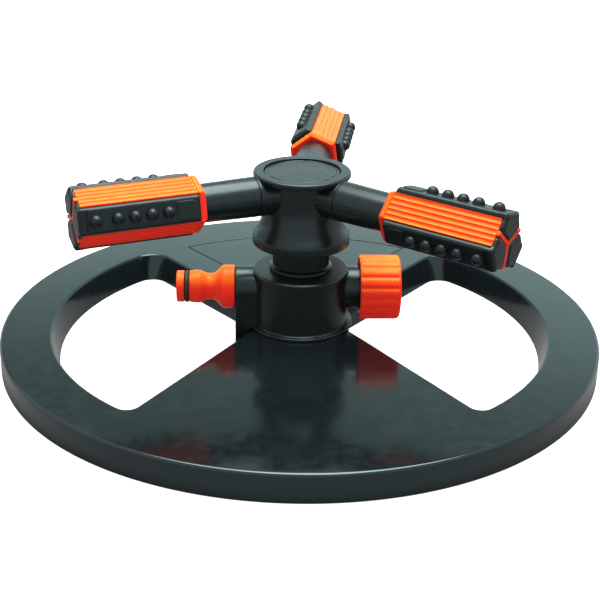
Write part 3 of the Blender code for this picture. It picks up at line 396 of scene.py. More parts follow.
# %% Outlines
def arc(centre, radius, start, end, segments):
    turn = (end - start) / segments
    return [(centre[0] + radius * math.cos(start + turn * i), centre[1] + radius * math.sin(start + turn * i))
            for i in range(segments + 1)]


def round_loop(radius, steps=288):
    return arc((0, 0), radius, 0, math.tau, steps)[:-1]


def rounded(corners, segments=5):
    """The outline through (x, y, fillet) corners, each fillet kept under half of its shorter side."""
    outline = []
    for i, (x, y, fillet) in enumerate(corners):
        here = Vector((x, y))
        before = Vector(corners[i - 1][:2]) - here
        after = Vector(corners[(i + 1) % len(corners)][:2]) - here
        if not fillet:
            outline.append((x, y))
            continue
        half = before.angle(after) / 2
        reach = min(fillet / math.tan(half), before.length * 0.49, after.length * 0.49)
        start, end = before.normalized() * reach, after.normalized() * reach
        centre = (start + end).normalized() * (reach / math.cos(half))
        first, last = start - centre, end - centre
        sweep = math.atan2(first.x * last.y - first.y * last.x, first.dot(last))
        angle = math.atan2(first.y, first.x)
        outline += arc(here + centre, first.length, angle, angle + sweep, segments)
    return outline


print("a corner with a fillet is", len(rounded([(0, 0, 0), (4, 0, 1), (0, 4, 0)])) - 2, "points")

# %% Mesh pieces
SMOOTH_ANGLE = math.radians(34)
WELD_DISTANCE = 1e-6


def grid_faces(rows, count, loop_rows=False):
    """Quads between rows of as many points each, every row closed on itself."""
    pairs = [(row, (row + 1) % rows) for row in range(rows if loop_rows else rows - 1)]
    return [(a * count + i, a * count + (i + 1) % count, b * count + (i + 1) % count, b * count + i)
            for a, b in pairs for i in range(count)]


def dress(mesh, material):
    """One material, and smooth shading up to the sharp edges."""
    mesh.materials.clear()
    mesh.materials.append(material)
    mesh.shade_smooth()
    mesh.set_sharp_from_angle(angle=SMOOTH_ANGLE)


def piece(name, shape, material, body, stands_for=(), place=Matrix()):
    """A piece from a shape, put in its place, also in millimetres, and set to ride on a body."""
    points, faces = shape
    mesh = bpy.data.meshes.new(name)
    mesh.from_pydata([[v * MM for v in point] for point in points], [], faces)
    bm = bmesh.new()
    bm.from_mesh(mesh)
    bmesh.ops.remove_doubles(bm, verts=bm.verts, dist=WELD_DISTANCE)
    bmesh.ops.recalc_face_normals(bm, faces=bm.faces)
    bm.to_mesh(mesh)
    bm.free()
    dress(mesh, material)
    obj = bpy.data.objects.new(name, mesh)
    bpy.context.scene.collection.objects.link(obj)
    # Large faces keep their own direction, so that flats shade flat beside their rounded edges.
    obj.modifiers.new("flats_stay_flat", "WEIGHTED_NORMAL").keep_sharp = True
    obj.matrix_world = Matrix.Translation(place.translation * MM) @ place.to_3x3().to_4x4()
    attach(obj, body)
    if stands_for:
        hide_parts(*stands_for)
    return obj


print("edges stay sharp over", round(math.degrees(SMOOTH_ANGLE)), "degrees")

# %% Turned, stacked and merged shapes
def turned_shape(corners, steps=96, segments=5):
    """Points and faces of (radius, height, fillet) corners turned about Z. A radius of 0 closes the end."""
    outline = rounded(corners, segments)
    points = [(x, y, z) for radius, z in outline for x, y in round_loop(radius, steps)]
    return points, grid_faces(len(outline), steps, loop_rows=corners[0][0] > 0)


def stacked_shape(sections, closed_ends=True):
    """Points and faces through (outline, height) sections."""
    count = len(sections[0][0])
    points = [(x, y, z) for outline, z in sections for x, y in outline]
    faces = grid_faces(len(sections), count)
    if closed_ends:
        faces.append(tuple(range(count))[::-1])
        faces.append(tuple(range(len(points) - count, len(points))))
    return points, faces


def merged(*shapes):
    """Several shapes, each a closed body, as one."""
    points, faces = [], []
    for more_points, more_faces in shapes:
        start = len(points)
        points += more_points
        faces += [tuple(start + i for i in face) for face in more_faces]
    return points, faces


def moved(shape, matrix):
    points, faces = shape
    return [tuple(matrix @ Vector(point)) for point in points], faces


print("a turned triangle has", len(turned_shape([(0, 1, 0), (1, 0, 0), (0, 0, 0)])[0]), "points")

# %% [markdown]
# ## Places
#
# The hose nipple points along -X, the cap along +X, and each arm along its own azimuth. A piece on
# one of them is turned about its own Z first and then laid down: its X points up and its Z outward.
# A head is turned once more about its arm, by the angle at which it stands in the photograph.

# %% Frames of the ports, arms and heads
PORT_HEIGHT = 34.0
ARM_HEIGHT = 86.7
ARM_AZIMUTHS = (81.7, 201.7, 321.7)
HEAD_TURNS = (22.0, -18.2, 49.0)


def laid_along(azimuth, height, turn=0.0):
    """The frame whose Z points outward at this azimuth and whose X points up, with angles in degrees."""
    angle = math.radians(azimuth)
    outward = Vector((math.cos(angle), math.sin(angle), 0))
    up = Vector((0, 0, 1))
    columns = Matrix((up, outward.cross(up), outward)).transposed().to_4x4()
    return Matrix.Translation((0, 0, height)) @ columns @ Matrix.Rotation(math.radians(turn), 4, "Z")


inlet_place, outlet_place = laid_along(180, PORT_HEIGHT), laid_along(0, PORT_HEIGHT)
arm_places = [laid_along(azimuth, ARM_HEIGHT) for azimuth in ARM_AZIMUTHS]
head_places = [laid_along(azimuth, ARM_HEIGHT, turn) for azimuth, turn in zip(ARM_AZIMUTHS, HEAD_TURNS)]
print("arms at", ARM_AZIMUTHS, "degrees, heads turned by", HEAD_TURNS)

# %% [markdown]
# ## The base
#
# The base is a shallow tray upside down: a flat top 310 mm across with a short skirt and walls of
# 2.5 mm. Its two windows lean outwards as they rise, so that the moulding leaves its mould. Every
# loop of the base, from the flat top round each edge and down to the foot, has as many points as the
# next, so quads join them, and only the flats are filled. A shallow groove draws a fan on the rear web.

# %% Window and panel outlines
BASE_RADIUS = 155.0
BASE_TOP = 14.5
BASE_WALL = 2.5
WINDOW_INNER, WINDOW_OUTER = 26.0, 129.0
REAR_ANGLE, REAR_OFFSET = math.radians(52.2), 5.2
FRONT_ANGLE, FRONT_OFFSET = math.radians(58.1), 15.0
# How far each edge of a window has come in at the ground.
OUTER_LEAN, REAR_LEAN, FRONT_LEAN = 3.8, 4.0, 0.8
# The corners' radii at the top, and how much larger the outer two are at the ground.
INNER_CORNER, REAR_CORNER, FRONT_CORNER = 5.0, 12.0, 6.0
REAR_CORNER_LEAN, FRONT_CORNER_LEAN = -3.4, 2.2
PANEL_OFFSET, PANEL_REACH, PANEL_FOOT = -12.8, 124.0, 29.7


def beside_line(angle, off, reach):
    """The point this far off the line through the axis at this angle, at this distance from the axis."""
    normal = Vector((math.sin(angle), -math.cos(angle)))
    along = Vector((math.cos(angle), math.sin(angle)))
    return normal * off + along * math.sqrt(reach**2 - off**2)


def window_side(angle, off, inner, outer, near_fillet, far_fillet):
    """The two round corners of one side, and the angles at which they meet the window's arcs."""
    near = beside_line(angle, off + near_fillet, inner + near_fillet)
    far = beside_line(angle, off + far_fillet, outer - far_fillet)
    near_angle, far_angle = math.atan2(near.y, near.x), math.atan2(far.y, far.x)
    across = angle + math.pi / 2
    corners = arc(near, near_fillet, near_angle + math.pi, across, 10)
    return corners + arc(far, far_fillet, across, far_angle, 14), near_angle, far_angle


def window_loop(side, growth, height):
    """One window at this height, grown all round. Side is 1 for the right window and -1 for the left."""
    sunk = 1 - height / BASE_TOP
    inner, outer = WINDOW_INNER - growth, WINDOW_OUTER - OUTER_LEAN * sunk + growth
    near = INNER_CORNER + growth
    rear, rear_near, rear_far = window_side(
        REAR_ANGLE, REAR_OFFSET + REAR_LEAN * sunk - growth, inner, outer,
        near, REAR_CORNER + REAR_CORNER_LEAN * sunk + growth)
    front, front_near, front_far = window_side(
        FRONT_ANGLE, FRONT_OFFSET + FRONT_LEAN * sunk - growth, inner, outer,
        near, FRONT_CORNER + FRONT_CORNER_LEAN * sunk + growth)
    loop = arc((0, 0), inner, -front_near, rear_near, 16)[1:-1] + rear
    loop += arc((0, 0), outer, rear_far, -front_far, 72)[1:-1]
    loop += [(x, -y) for x, y in reversed(front)]
    return [(side * x, y) for x, y in loop]


def panel_loop(inset):
    """The fan on the rear web, drawn in by the inset."""
    off, reach, foot = PANEL_OFFSET - inset, PANEL_REACH - inset, PANEL_FOOT + inset
    corner, heel = beside_line(REAR_ANGLE, off, reach), beside_line(REAR_ANGLE, off, foot)
    corner_angle, heel_angle = math.atan2(corner.y, corner.x), math.atan2(heel.y, heel.x)
    return (arc((0, 0), reach, corner_angle, math.pi - corner_angle, 48)
            + arc((0, 0), foot, math.pi - heel_angle, heel_angle, 8))


print(len(window_loop(1, 0, BASE_TOP)), "points round a window")

# %% Base moulding
RIM_ROUND, WINDOW_ROUND, FOOT_ROUND = 1.6, 0.9, 0.5
GROOVE_DEPTH = 0.6


def wall_of(loop_at, profile):
    """Quads through the loops that the function gives for each (offset, height) of the profile."""
    return stacked_shape([(loop_at(offset, height), height) for offset, height in profile], closed_ends=False)


def filled_flat(height, loops):
    """A flat face with holes: the first loop is its outside."""
    triangles = tessellate_polygon([[Vector((x, y, 0)) for x, y in loop] for loop in loops])
    points = [(x, y, height) for loop in loops for x, y in loop]
    return points, [tuple(triangle) for triangle in triangles]


def base_shape():
    ceiling = BASE_TOP - BASE_WALL
    inside = BASE_RADIUS - BASE_WALL
    rim = rounded([(0, BASE_TOP, 0), (BASE_RADIUS, BASE_TOP, RIM_ROUND), (BASE_RADIUS, 0, FOOT_ROUND),
                   (inside, 0, FOOT_ROUND), (inside, ceiling, 3), (0, ceiling, 0)], 7)[1:-1]
    shapes = [wall_of(lambda radius, height: round_loop(radius), rim)]
    lip = rounded([(WINDOW_ROUND * 2, BASE_TOP, 0), (0, BASE_TOP, WINDOW_ROUND), (0, 0, FOOT_ROUND),
                   (BASE_WALL, 0, FOOT_ROUND), (BASE_WALL, ceiling, 1.5), (BASE_WALL * 3, ceiling, 0)])[1:-1]
    top_holes, under_holes = [], []
    for side in (1, -1):
        shapes.append(wall_of(lambda growth, height, side=side: window_loop(side, growth, height), lip))
        top_holes.append(window_loop(side, *lip[0]))
        under_holes.append(window_loop(side, *lip[-1]))
    low = BASE_TOP - GROOVE_DEPTH
    groove = rounded([(-0.5, BASE_TOP, 0), (0, BASE_TOP, 0.25), (0.4, low, 0.2), (0.8, low, 0.2),
                      (1.2, BASE_TOP, 0.25), (2, BASE_TOP, 0)], 3)[1:-1]
    shapes.append(wall_of(lambda inset, height: panel_loop(inset), groove))
    top_holes.append(panel_loop(groove[0][0]))
    shapes.append(filled_flat(BASE_TOP, [panel_loop(groove[-1][0])]))
    shapes.append(filled_flat(BASE_TOP, [round_loop(rim[0][0]), *top_holes]))
    shapes.append(filled_flat(ceiling, [round_loop(rim[-1][0]), *under_holes]))
    return merged(*shapes)


base = piece("base_moulding", base_shape(), polished_abs, "base", ["base_plate"])
open_edges = bmesh.new()
open_edges.from_mesh(base.data)
print("open edges of the base:", sum(1 for edge in open_edges.edges if len(edge.link_faces) != 2))
open_edges.free()

# %% [markdown]
# Under the plate, six thin ribs stiffen the two webs, and four screws come up into the water body.
# They are only seen when the sprinkler is picked up, so the ribs are plain bevelled bars.

# %% Ribs under the base
RIB_START, RIB_HALF = 24.3, 0.8
RIB_LOW, RIB_HIGH = 6.0, 12.6


def prism_across(outline, low, high, bevel):
    """A prism between two X values, from an outline in (y, z), with its edges rounded."""
    bm = bmesh.new()
    rings = [[bm.verts.new((x, y, z)) for y, z in outline] for x in (low, high)]
    for i in range(len(outline)):
        bm.faces.new((rings[0][i - 1], rings[0][i], rings[1][i], rings[1][i - 1]))
    bm.faces.new(rings[0])
    bm.faces.new(rings[1])
    bmesh.ops.recalc_face_normals(bm, faces=bm.faces)
    sharp = [edge for edge in bm.edges if edge.calc_face_angle(0) > math.radians(40)]
    bmesh.ops.bevel(bm, geom=sharp, offset=bevel, segments=3, profile=0.5, affect="EDGES",
                    clamp_overlap=True)
    bm.verts.index_update()
    shape = [tuple(v.co) for v in bm.verts], [tuple(v.index for v in f.verts) for f in bm.faces]
    bm.free()
    return shape


def web_ribs():
    section = [(-RIB_HALF, RIB_LOW), (RIB_HALF, RIB_LOW), (RIB_HALF, RIB_HIGH), (-RIB_HALF, RIB_HIGH)]
    bar = prism_across(section, RIB_START, BASE_RADIUS - 2, 0.3)
    turns = [side * 90 + lean for side in (1, -1) for lean in (-16, 0, 16)]
    return merged(*[moved(bar, Matrix.Rotation(math.radians(turn), 4, "Z")) for turn in turns])


ribs = piece("web_ribs", web_ribs(), polished_abs, "base")
print(len(ribs.data.polygons), "faces in the ribs")

# %% [markdown]
# ## The water body
#
# Water comes in from the left, rises to the rotor and can leave to the right. The barrel is a turned
# form with a small foot. The inlet block is flat-sided with a round top, and its outer wall runs down
# through the window as a leg. The outlet neck ends in a 3/4 inch pipe thread, which has 14 turns to
# the inch, so 1.814 mm a turn. The thread is a helix of one small trapezium, cut to length.

# %% Barrel, inlet block and leg
BODY_FLOOR, BODY_TOP = 14.8, 45.0
BODY_RADIUS, BODY_FOOT_RADIUS = 25.0, 27.3
INLET_FACE = 33.8
BOSS_RADIUS = 11.0
LEG_FOOT, LEG_THICKNESS = 2.5, 7.85


def inlet_outline(foot, radius):
    """The inlet block from the side: straight flanks and a round top."""
    return [(radius, foot), *arc((0, PORT_HEIGHT), radius, 0, math.pi, 32), (-radius, foot)]


barrel = turned_shape([(0, BODY_TOP, 0), (BODY_RADIUS, BODY_TOP, 1.3), (BODY_RADIUS, BODY_FLOOR + 1.5, 0.9),
                       (BODY_FOOT_RADIUS, BODY_FLOOR + 1.3, 0.6), (BODY_FOOT_RADIUS, BODY_FLOOR, 0),
                       (0, BODY_FLOOR, 0)], 128)
leg_inside = LEG_THICKNESS - INLET_FACE
leg = prism_across(inlet_outline(LEG_FOOT, BOSS_RADIUS), -INLET_FACE, leg_inside, 0.6)
# The block is a hair slimmer than the leg and reaches into it, so that no two faces coincide.
block = prism_across(inlet_outline(BODY_FLOOR, BOSS_RADIUS - 0.03), leg_inside - 1, -15, 0.3)
piece("water_body_moulding", merged(barrel, block, leg), body_abs, "base", ["water_body"])
print("water body with", len(barrel[1]), "faces in its barrel")

# %% Outlet neck and its thread
THREAD_PITCH = 1.814
THREAD_TURNS = 6
THREAD_ROOT, THREAD_CREST = 12.2, 13.15
NECK_END = 31.6
SPIGOT_END = 44.3


def helical_thread(root, crest, start, inward=False, steps=48):
    """A screw thread of trapezium section. Its first and last half turn fade into the root."""
    count = THREAD_TURNS * steps
    half_root, half_crest = THREAD_PITCH * 0.42, THREAD_PITCH * 0.10
    buried = root + (0.3 if inward else -0.3)
    points = []
    for i in range(count + 1):
        angle = math.tau * i / steps
        fade = min(1.0, i / (steps / 2), (count - i) / (steps / 2))
        tip = root + (crest - root) * max(fade, 0.02)
        middle = start + THREAD_PITCH * i / steps
        for radius, offset in (
                (buried, -half_root), (tip, -half_crest), (tip, half_crest), (buried, half_root)):
            points.append((radius * math.cos(angle), radius * math.sin(angle), middle + offset))
    ends = [(0, 1, 2, 3), tuple(4 * count + k for k in range(4))]
    return points, grid_faces(count + 1, 4) + ends


outlet_core = turned_shape([(8.5, SPIGOT_END, 0.3), (THREAD_ROOT, SPIGOT_END, 0.6),
                            (THREAD_ROOT, NECK_END, 0.2), (11, NECK_END, 0.3), (11, 20, 0), (8.5, 20, 0)])
outlet_thread = helical_thread(THREAD_ROOT, THREAD_CREST, NECK_END + 1.2)
piece("outlet_spigot_threaded", merged(outlet_core, outlet_thread), body_abs, "base",
      place=outlet_place)
print("outlet thread:", THREAD_TURNS, "turns of", THREAD_PITCH, "mm")

# %% [markdown]
# ## The hose nipple
#
# A click-on hose connector grips the waist of this orange nipple, and its O-ring seals inside the
# connector. The waist is drawn in with long soft curves, the nose has a chamfer that helps the ring
# in, and the collar meets the water body with a thin dark gap.

# %% Nipple and O-ring
NIPPLE_FACE = INLET_FACE + 0.3
NIPPLE_CORNERS = (
    (4.5, 30.2, 0.3), (8.2, 30.2, 0.9), (8.2, 26.2, 0.15), (5.85, 26.2, 0.2), (5.85, 23.4, 0.2),
    (8.2, 23.4, 0.15), (8.6, 20.6, 0.5), (8.6, 18.0, 1.8), (6.9, 14.4, 3.5), (6.9, 10.6, 4.0),
    (11.3, 6.2, 2.6), (11.3, 0, 0.5), (8.2, 0, 0.1), (8.2, -8, 0.3), (4.5, -8, 0.2),
)
RING_INNER, RING_THICKNESS = 5.85, 2.5


def torus_shape(inner, thickness, height, sides=18):
    half = thickness / 2
    corners = [(inner + half + half * math.cos(turn), height + half * math.sin(turn), 0)
               for turn in (-math.tau * i / sides for i in range(sides))]
    return turned_shape(corners, 72)


nipple = turned_shape([(r, NIPPLE_FACE + z, fillet) for r, z, fillet in NIPPLE_CORNERS], 96, 7)
piece("hose_nipple_moulding", nipple, orange_abs, "base", ["inlet_nipple"], inlet_place)
ring = torus_shape(RING_INNER, RING_THICKNESS, NIPPLE_FACE + 24.8)
piece("hose_nipple_ring", ring, rubber, "base", ["nipple_o_ring"], inlet_place)
print("nipple tip", NIPPLE_FACE + NIPPLE_CORNERS[0][1], "mm from the axis")

# %% [markdown]
# ## The end cap
#
# The cap closes the outlet. Shallow ribs round its side give fingers a grip, and they run out into a
# chamfer at the outer edge. Inside, the mouth has its own thread, which shows when the cap is off.

# %% Ribbed cap
CAP_START, CAP_END = 30.4, 51.4
CAP_BORE, CAP_BORE_END = 13.5, 46.9
CAP_RIBS = 18


def ribbed_outline(radius, depth, ribs, steps_each, narrowing=1):
    """Rounded ribs with valleys between them. The more the narrowing, the narrower the valleys."""
    outline = []
    for i, (x, y) in enumerate(round_loop(1, ribs * steps_each)):
        valley = (0.5 - 0.5 * math.cos(math.tau * i / steps_each)) ** narrowing
        reach = radius - depth * valley
        outline.append((reach * x, reach * y))
    return outline


def cap_shape():
    stations = [
        (CAP_BORE, 0, CAP_BORE_END), (CAP_BORE, 0, CAP_START + 0.8), (CAP_BORE + 0.5, 0, CAP_START + 0.1),
        (CAP_BORE + 1.0, 0, CAP_START), (15.8, 0, CAP_START), (16.2, 0.1, CAP_START + 0.15),
        (16.5, 0.4, CAP_START + 0.6), (16.7, 0.7, CAP_START + 1.2), (16.7, 0.7, CAP_END - 2.0),
        (16.45, 0.5, CAP_END - 1.2), (16.0, 0.2, CAP_END - 0.5), (15.4, 0, CAP_END - 0.1), (14.8, 0, CAP_END),
        (12.4, 0, CAP_END), (12.1, 0, CAP_END - 0.3), (11.8, 0, CAP_END - 0.4),
    ]
    return stacked_shape([(ribbed_outline(radius, depth, CAP_RIBS, 10, narrowing=3), z)
                          for radius, depth, z in stations])


cap_thread = helical_thread(CAP_BORE, 12.95, CAP_START + 2.0, inward=True)
piece("outlet_cap_ribbed", merged(cap_shape(), cap_thread), orange_abs, "outlet_cap",
      ["end_cap"], outlet_place)
print("cap with", CAP_RIBS, "ribs")

# %% [markdown]
# ## The neck
#
# A fixed neck rises from the water body into the rotor's bell. Fine upright ribs run round it, one
# every 2.5 mm or so, above a small collar. The spindle inside carries the rotor.

# %% Fluted neck and spindle
NECK_FOOT = 45.3
NECK_RADIUS = 14.6
NECK_RIBS = 36


def neck_sleeve():
    stations = [(16.2, 0, 0), (16.2, 0, 1.0), (16.0, 0, 1.5), (15.5, 0, 1.8), (15.0, 0, 1.9),
                (NECK_RADIUS, 0.4, 2.4), (NECK_RADIUS, 0.5, 3.4), (NECK_RADIUS, 0.5, 23.4),
                (NECK_RADIUS - 0.3, 0.2, 24.0)]
    return stacked_shape([(ribbed_outline(radius, depth, NECK_RIBS, 6), NECK_FOOT + z)
                          for radius, depth, z in stations])


spindle = turned_shape([(5.5, 84.0, 0.2), (9.0, 84.0, 0.6), (9.0, 76.15, 0.1), (7.6, 76.15, 0.1),
                        (7.6, 74.45, 0.1), (9.0, 74.45, 0.1), (9.0, 40.4, 0.1), (5.5, 40.4, 0.1)], 64, 3)
piece("pivot_neck_fluted", merged(neck_sleeve(), spindle), body_abs, "base", ["pivot_neck"])
print("neck with", NECK_RIBS, "ribs,", round(math.tau * NECK_RADIUS / NECK_RIBS, 2), "mm apart")

# %% [markdown]
# ## The hub
#
# The turning hub is a spool: a flange with a round edge on top, a slim neck where the arms leave, and
# a bell that flares in one long curve over the fixed neck and keeps grit out of the bearing. Each arm
# plugs into a short stub. A disc is snapped into the top.

# %% Hub, stubs and disc
FLANGE_RADIUS = 24.7
STUB_BORE, STUB_RADIUS = 7.7, 10.1
HUB_CORNERS = (
    (19.5, 97.6, 0.35), (FLANGE_RADIUS, 97.6, 1.1), (FLANGE_RADIUS, 94.6, 1.1), (18.4, 94.6, 1.6),
    (18.4, 79.0, 30.0), (21.6, 69.0, 30.0), (25.0, 64.4, 5.0), (25.0, 59.5, 0.8), (22.0, 59.5, 0.6),
    (22.0, 63.5, 1.0), (14.7, 72.3, 0.5), (11.0, 72.3, 0.1), (11.0, 78.3, 0.1), (13.7, 78.3, 0.2),
    (13.7, 95.3, 0.2), (19.5, 95.3, 0.3),
)
DISC_CORNERS = (
    (0, 96.8, 0), (17.2, 96.8, 0.5), (17.4, 96.55, 0.1), (18.0, 96.55, 0.1), (18.2, 96.8, 0.2),
    (19.2, 96.8, 0.4), (19.2, 95.6, 0.1), (13.4, 95.6, 0.1), (13.4, 93.6, 0.1), (11.9, 93.6, 0.1),
    (11.9, 95.6, 0.1), (0, 95.6, 0),
)
stub = turned_shape([(STUB_BORE, 25.5, 0.1), (STUB_RADIUS, 25.5, 0.2), (STUB_RADIUS, 15.5, 0),
                     (STUB_BORE, 15.5, 0)], 64, 4)
hub = merged(turned_shape(HUB_CORNERS, 128, 10), *[moved(stub, place) for place in arm_places])
piece("rotor_hub_moulding", hub, body_abs, "rotor", ["rotor_hub"])
piece("hub_disc", turned_shape(DISC_CORNERS, 96, 4), body_abs, "rotor", ["hub_cap"])
print("hub flange", 2 * FLANGE_RADIUS, "mm across")

# %% [markdown]
# ## The arms
#
# Each arm is a plain tube whose radius shrinks by half a millimetre towards its head. The head turns
# on a journal at its end, which an O-ring seals and a spring clip holds.

# %% Arm tubes
ARM_CORNERS = (
    (5.0, 76.0, 0.1), (8.0, 76.0, 0.3), (8.0, 74.05, 0.05), (7.0, 74.05, 0.05), (7.0, 72.65, 0.05),
    (8.0, 72.65, 0.05), (8.0, 65.05, 0.05), (6.8, 65.05, 0.05), (6.8, 63.55, 0.05), (8.0, 63.55, 0.05),
    (8.0, 58.3, 0.1), (9.6, 58.3, 0.2), (9.65, 54.0, 0), (10.1, 27.0, 0.2), (10.1, 25.8, 0.2),
    (7.4, 25.8, 0.1), (7.4, 16.3, 0.3), (5.0, 16.3, 0.1),
)
for number, place in enumerate(arm_places, 1):
    piece(f"arm_{number}_tube", turned_shape(ARM_CORNERS, 72, 3), body_abs, "rotor",
          [f"arm_tube_{number}"], place)
print(len(arm_places), "arms")

# %% [markdown]
# ## The nozzle heads
#
# A head is six-sided. Three sides are fluted orange faces of the barrel. Between them lie channels,
# each closed by a black nozzle strip that snaps in. A strip is a bar with soft edges, a long pad at
# its inner end, five domed nozzles and a lobe that drops into a pocket in the end of the head and
# spreads there into a pillow. An orange Y stands between the three pillows. Each dome has a 1 mm
# spray hole.

# %% Orange barrel outlines
FACE_REACH = 12.4
FACE_WIDTH = 13.6
FLUTES = 5
FLUTE_DEPTH = 0.5
# Under 1, the flutes are broad and the ridges between them narrow.
FLUTE_BREADTH = 0.6
CHANNEL_FLOOR = 10.9
POCKET_APEX = 1.6
BLACK_WIDTH = math.sqrt(3) * FACE_REACH - FACE_WIDTH / 2
BLACK_REACH = (2 * FACE_WIDTH + BLACK_WIDTH) / (2 * math.sqrt(3))
CHANNEL_WIDTH = BLACK_WIDTH - 1.0
SEAT_GAP = 0.3


def turned_point(x, y, turn):
    return x * math.cos(turn) - y * math.sin(turn), x * math.sin(turn) + y * math.cos(turn)


def barrel_outline(inset, flute_depth, pockets=False, points_each=9):
    """Three fluted faces with a plain channel between each two, or with a lobe's pocket there."""
    outline = []
    steps = FLUTES * points_each
    width = FACE_WIDTH - inset
    for k in range(3):
        face_turn = math.tau * k / 3
        for i in range(steps + 1):
            share = i / steps
            valley = abs(math.sin(math.pi * FLUTES * share)) ** FLUTE_BREADTH
            reach = FACE_REACH - inset - flute_depth * valley
            outline.append(turned_point(reach, (share - 0.5) * width, face_turn))
        half, edge = CHANNEL_WIDTH / 2 + inset, BLACK_REACH - inset
        floor_x, floor_y = (POCKET_APEX + inset, 0.15) if pockets else (CHANNEL_FLOOR, half)
        for x, y in ((edge, -half), (floor_x, -floor_y), (floor_x, floor_y), (edge, half)):
            outline.append(turned_point(x, y, face_turn + math.pi / 3))
    return outline


print("orange face", FACE_WIDTH, "mm wide, black face", round(BLACK_WIDTH, 2), "mm wide")

# %% Orange barrel
HEAD_START = 54.6
HEAD_END = 116.2
COLLAR_END = HEAD_START + 3.6
COLLAR_BORE = 9.9
POCKET_FLOOR = HEAD_END - 3.0
LOBE_END = 118.5
Y_HALF = 1.0
SIN_60 = math.sqrt(3) / 2


def hexagon(reach_inset, z, fillet=1.1):
    """The collar's six-sided outline with rounded corners."""
    corners = []
    for k in range(3):
        for side in (-1, 1):
            x, y = turned_point(FACE_REACH + 0.2 - reach_inset,
                                side * (FACE_WIDTH / 2 - reach_inset * 0.15), math.tau * k / 3)
            corners.append((x, y, fillet))
    return rounded(corners, 6), z


def collar_shape():
    """The chamfered collar round the mouth, with the bore that the arm enters."""
    profile = [(2.2, 0.1), (1.9, 0), (1.6, 0.1), (0.3, 1.5), (0.08, 1.85), (0, 2.3), (0, 3.2), (0.1, 3.5),
               (0.3, 3.6)]
    sections = [hexagon(inset, HEAD_START + z) for inset, z in profile]
    for z in (HEAD_START + 3.4, HEAD_START + 0.2):
        outline = [(COLLAR_BORE * math.cos(angle), COLLAR_BORE * math.sin(angle))
                   for angle in (math.atan2(y, x) for x, y in sections[0][0])]
        sections.append((outline, z))
    points, _ = stacked_shape(sections, closed_ends=False)
    return points, grid_faces(len(sections), len(sections[0][0]), loop_rows=True)


def barrel_shape():
    """The fluted barrel, whose last 3 mm are the orange Y between the lobes' pockets."""
    plain = ((0.8, 0, COLLAR_END - 0.9), (0.3, 0, COLLAR_END - 0.2), (0.1, 0.5, COLLAR_END + 0.1),
             (0, 1, COLLAR_END + 0.7), (0, 1, POCKET_FLOOR))
    pocketed = ((0, 1, POCKET_FLOOR), (0, 1, HEAD_END - 0.5), (0.15, 0.9, HEAD_END - 0.15),
                (0.45, 0.7, HEAD_END))
    sections = [(barrel_outline(inset, FLUTE_DEPTH * depth, pockets), z)
                for pockets, stations in ((False, plain), (True, pocketed)) for inset, depth, z in stations]
    # The end is closed by quads towards its middle, because its outline is too hollow for one face.
    sections.append(([(x * 0.01, y * 0.01) for x, y in sections[-1][0]], HEAD_END))
    return stacked_shape(sections)


def y_outline(half, reach):
    """Three arms, each towards the middle of an orange face."""
    outline = []
    for k in range(3):
        face_turn = math.tau * k / 3
        outline += [turned_point(reach, -half, face_turn), turned_point(reach, half, face_turn),
                    turned_point(half / SIN_60, 0, face_turn + math.pi / 3)]
    return outline


def y_shape():
    """The orange Y that stands between the pillows."""
    stations = ((1, 0.5, HEAD_END - 0.4), (1, 0.5, LOBE_END - 1.0), (0.9, 0.6, LOBE_END - 0.75),
                (0.6, 0.9, LOBE_END - 0.6))
    return stacked_shape([(y_outline(Y_HALF * share, FACE_REACH - inset), z) for share, inset, z in stations])


barrel_parts = merged(collar_shape(), barrel_shape(), y_shape())
for number, place in enumerate(head_places, 1):
    piece(f"head_{number}_barrel", barrel_parts, orange_abs, f"head_{number}",
          [f"head_barrel_{number}"], place)
print("barrel with", FLUTES, "flutes on each face")

# %% Bar of a nozzle strip
STRIP_REACH = 14.75
STRIP_START = 58.5
STRIP_HALF = CHANNEL_WIDTH / 2 - SEAT_GAP
STRIP_ROUND = 2.1


def strip_section(inset, z):
    """The bar's section: X out of the head and Y across it, with soft outer edges."""
    foot, half = CHANNEL_FLOOR + SEAT_GAP, STRIP_HALF - inset * 0.5
    return rounded([(foot, -half, 0.1), (STRIP_REACH - inset, -half, STRIP_ROUND),
                    (STRIP_REACH - inset, half, STRIP_ROUND), (foot, half, 0.1)], 8), z


def bar_shape():
    """The bar. Its inner end is rolled over with a 1.2 mm round."""
    roll = 1.2
    ends = [(roll * (1 - math.cos(turn)), STRIP_START + roll * (1 - math.sin(turn)))
            for turn in (math.radians(angle) for angle in (90, 72, 54, 36, 18, 0))]
    return stacked_shape([strip_section(inset, z) for inset, z in ends]
                         + [strip_section(0, POCKET_FLOOR + 2.0)])


print("bar", round(2 * STRIP_HALF, 2), "mm wide")

# %% Lobe and pillow
PILLOW_ROUND = 2.2


def lobe_outline(shrink):
    """A sector between the bar's two edges, with its tip near the middle of the head's end."""
    rise = math.atan2(CHANNEL_WIDTH / 2, BLACK_REACH - POCKET_APEX)
    apex = POCKET_APEX + SEAT_GAP / math.sin(rise)
    shoulder = apex + STRIP_HALF / math.tan(rise)
    corners = [(apex, 0, 2.0), (shoulder, -STRIP_HALF, 1.6), (STRIP_REACH, -STRIP_HALF, STRIP_ROUND),
               (STRIP_REACH, STRIP_HALF, STRIP_ROUND), (shoulder, STRIP_HALF, 1.6)]
    middle = (STRIP_REACH + apex) / 2
    scale = 1 - shrink / middle
    return [(middle + (x - middle) * scale, y * scale) for x, y in rounded(corners, 8)]


def lobe_shape():
    """The straight part of the lobe, in its pocket."""
    return stacked_shape([(lobe_outline(0.2), POCKET_FLOOR + SEAT_GAP), (lobe_outline(0), POCKET_FLOOR + 0.5),
                          (lobe_outline(0), HEAD_END + 0.6)])


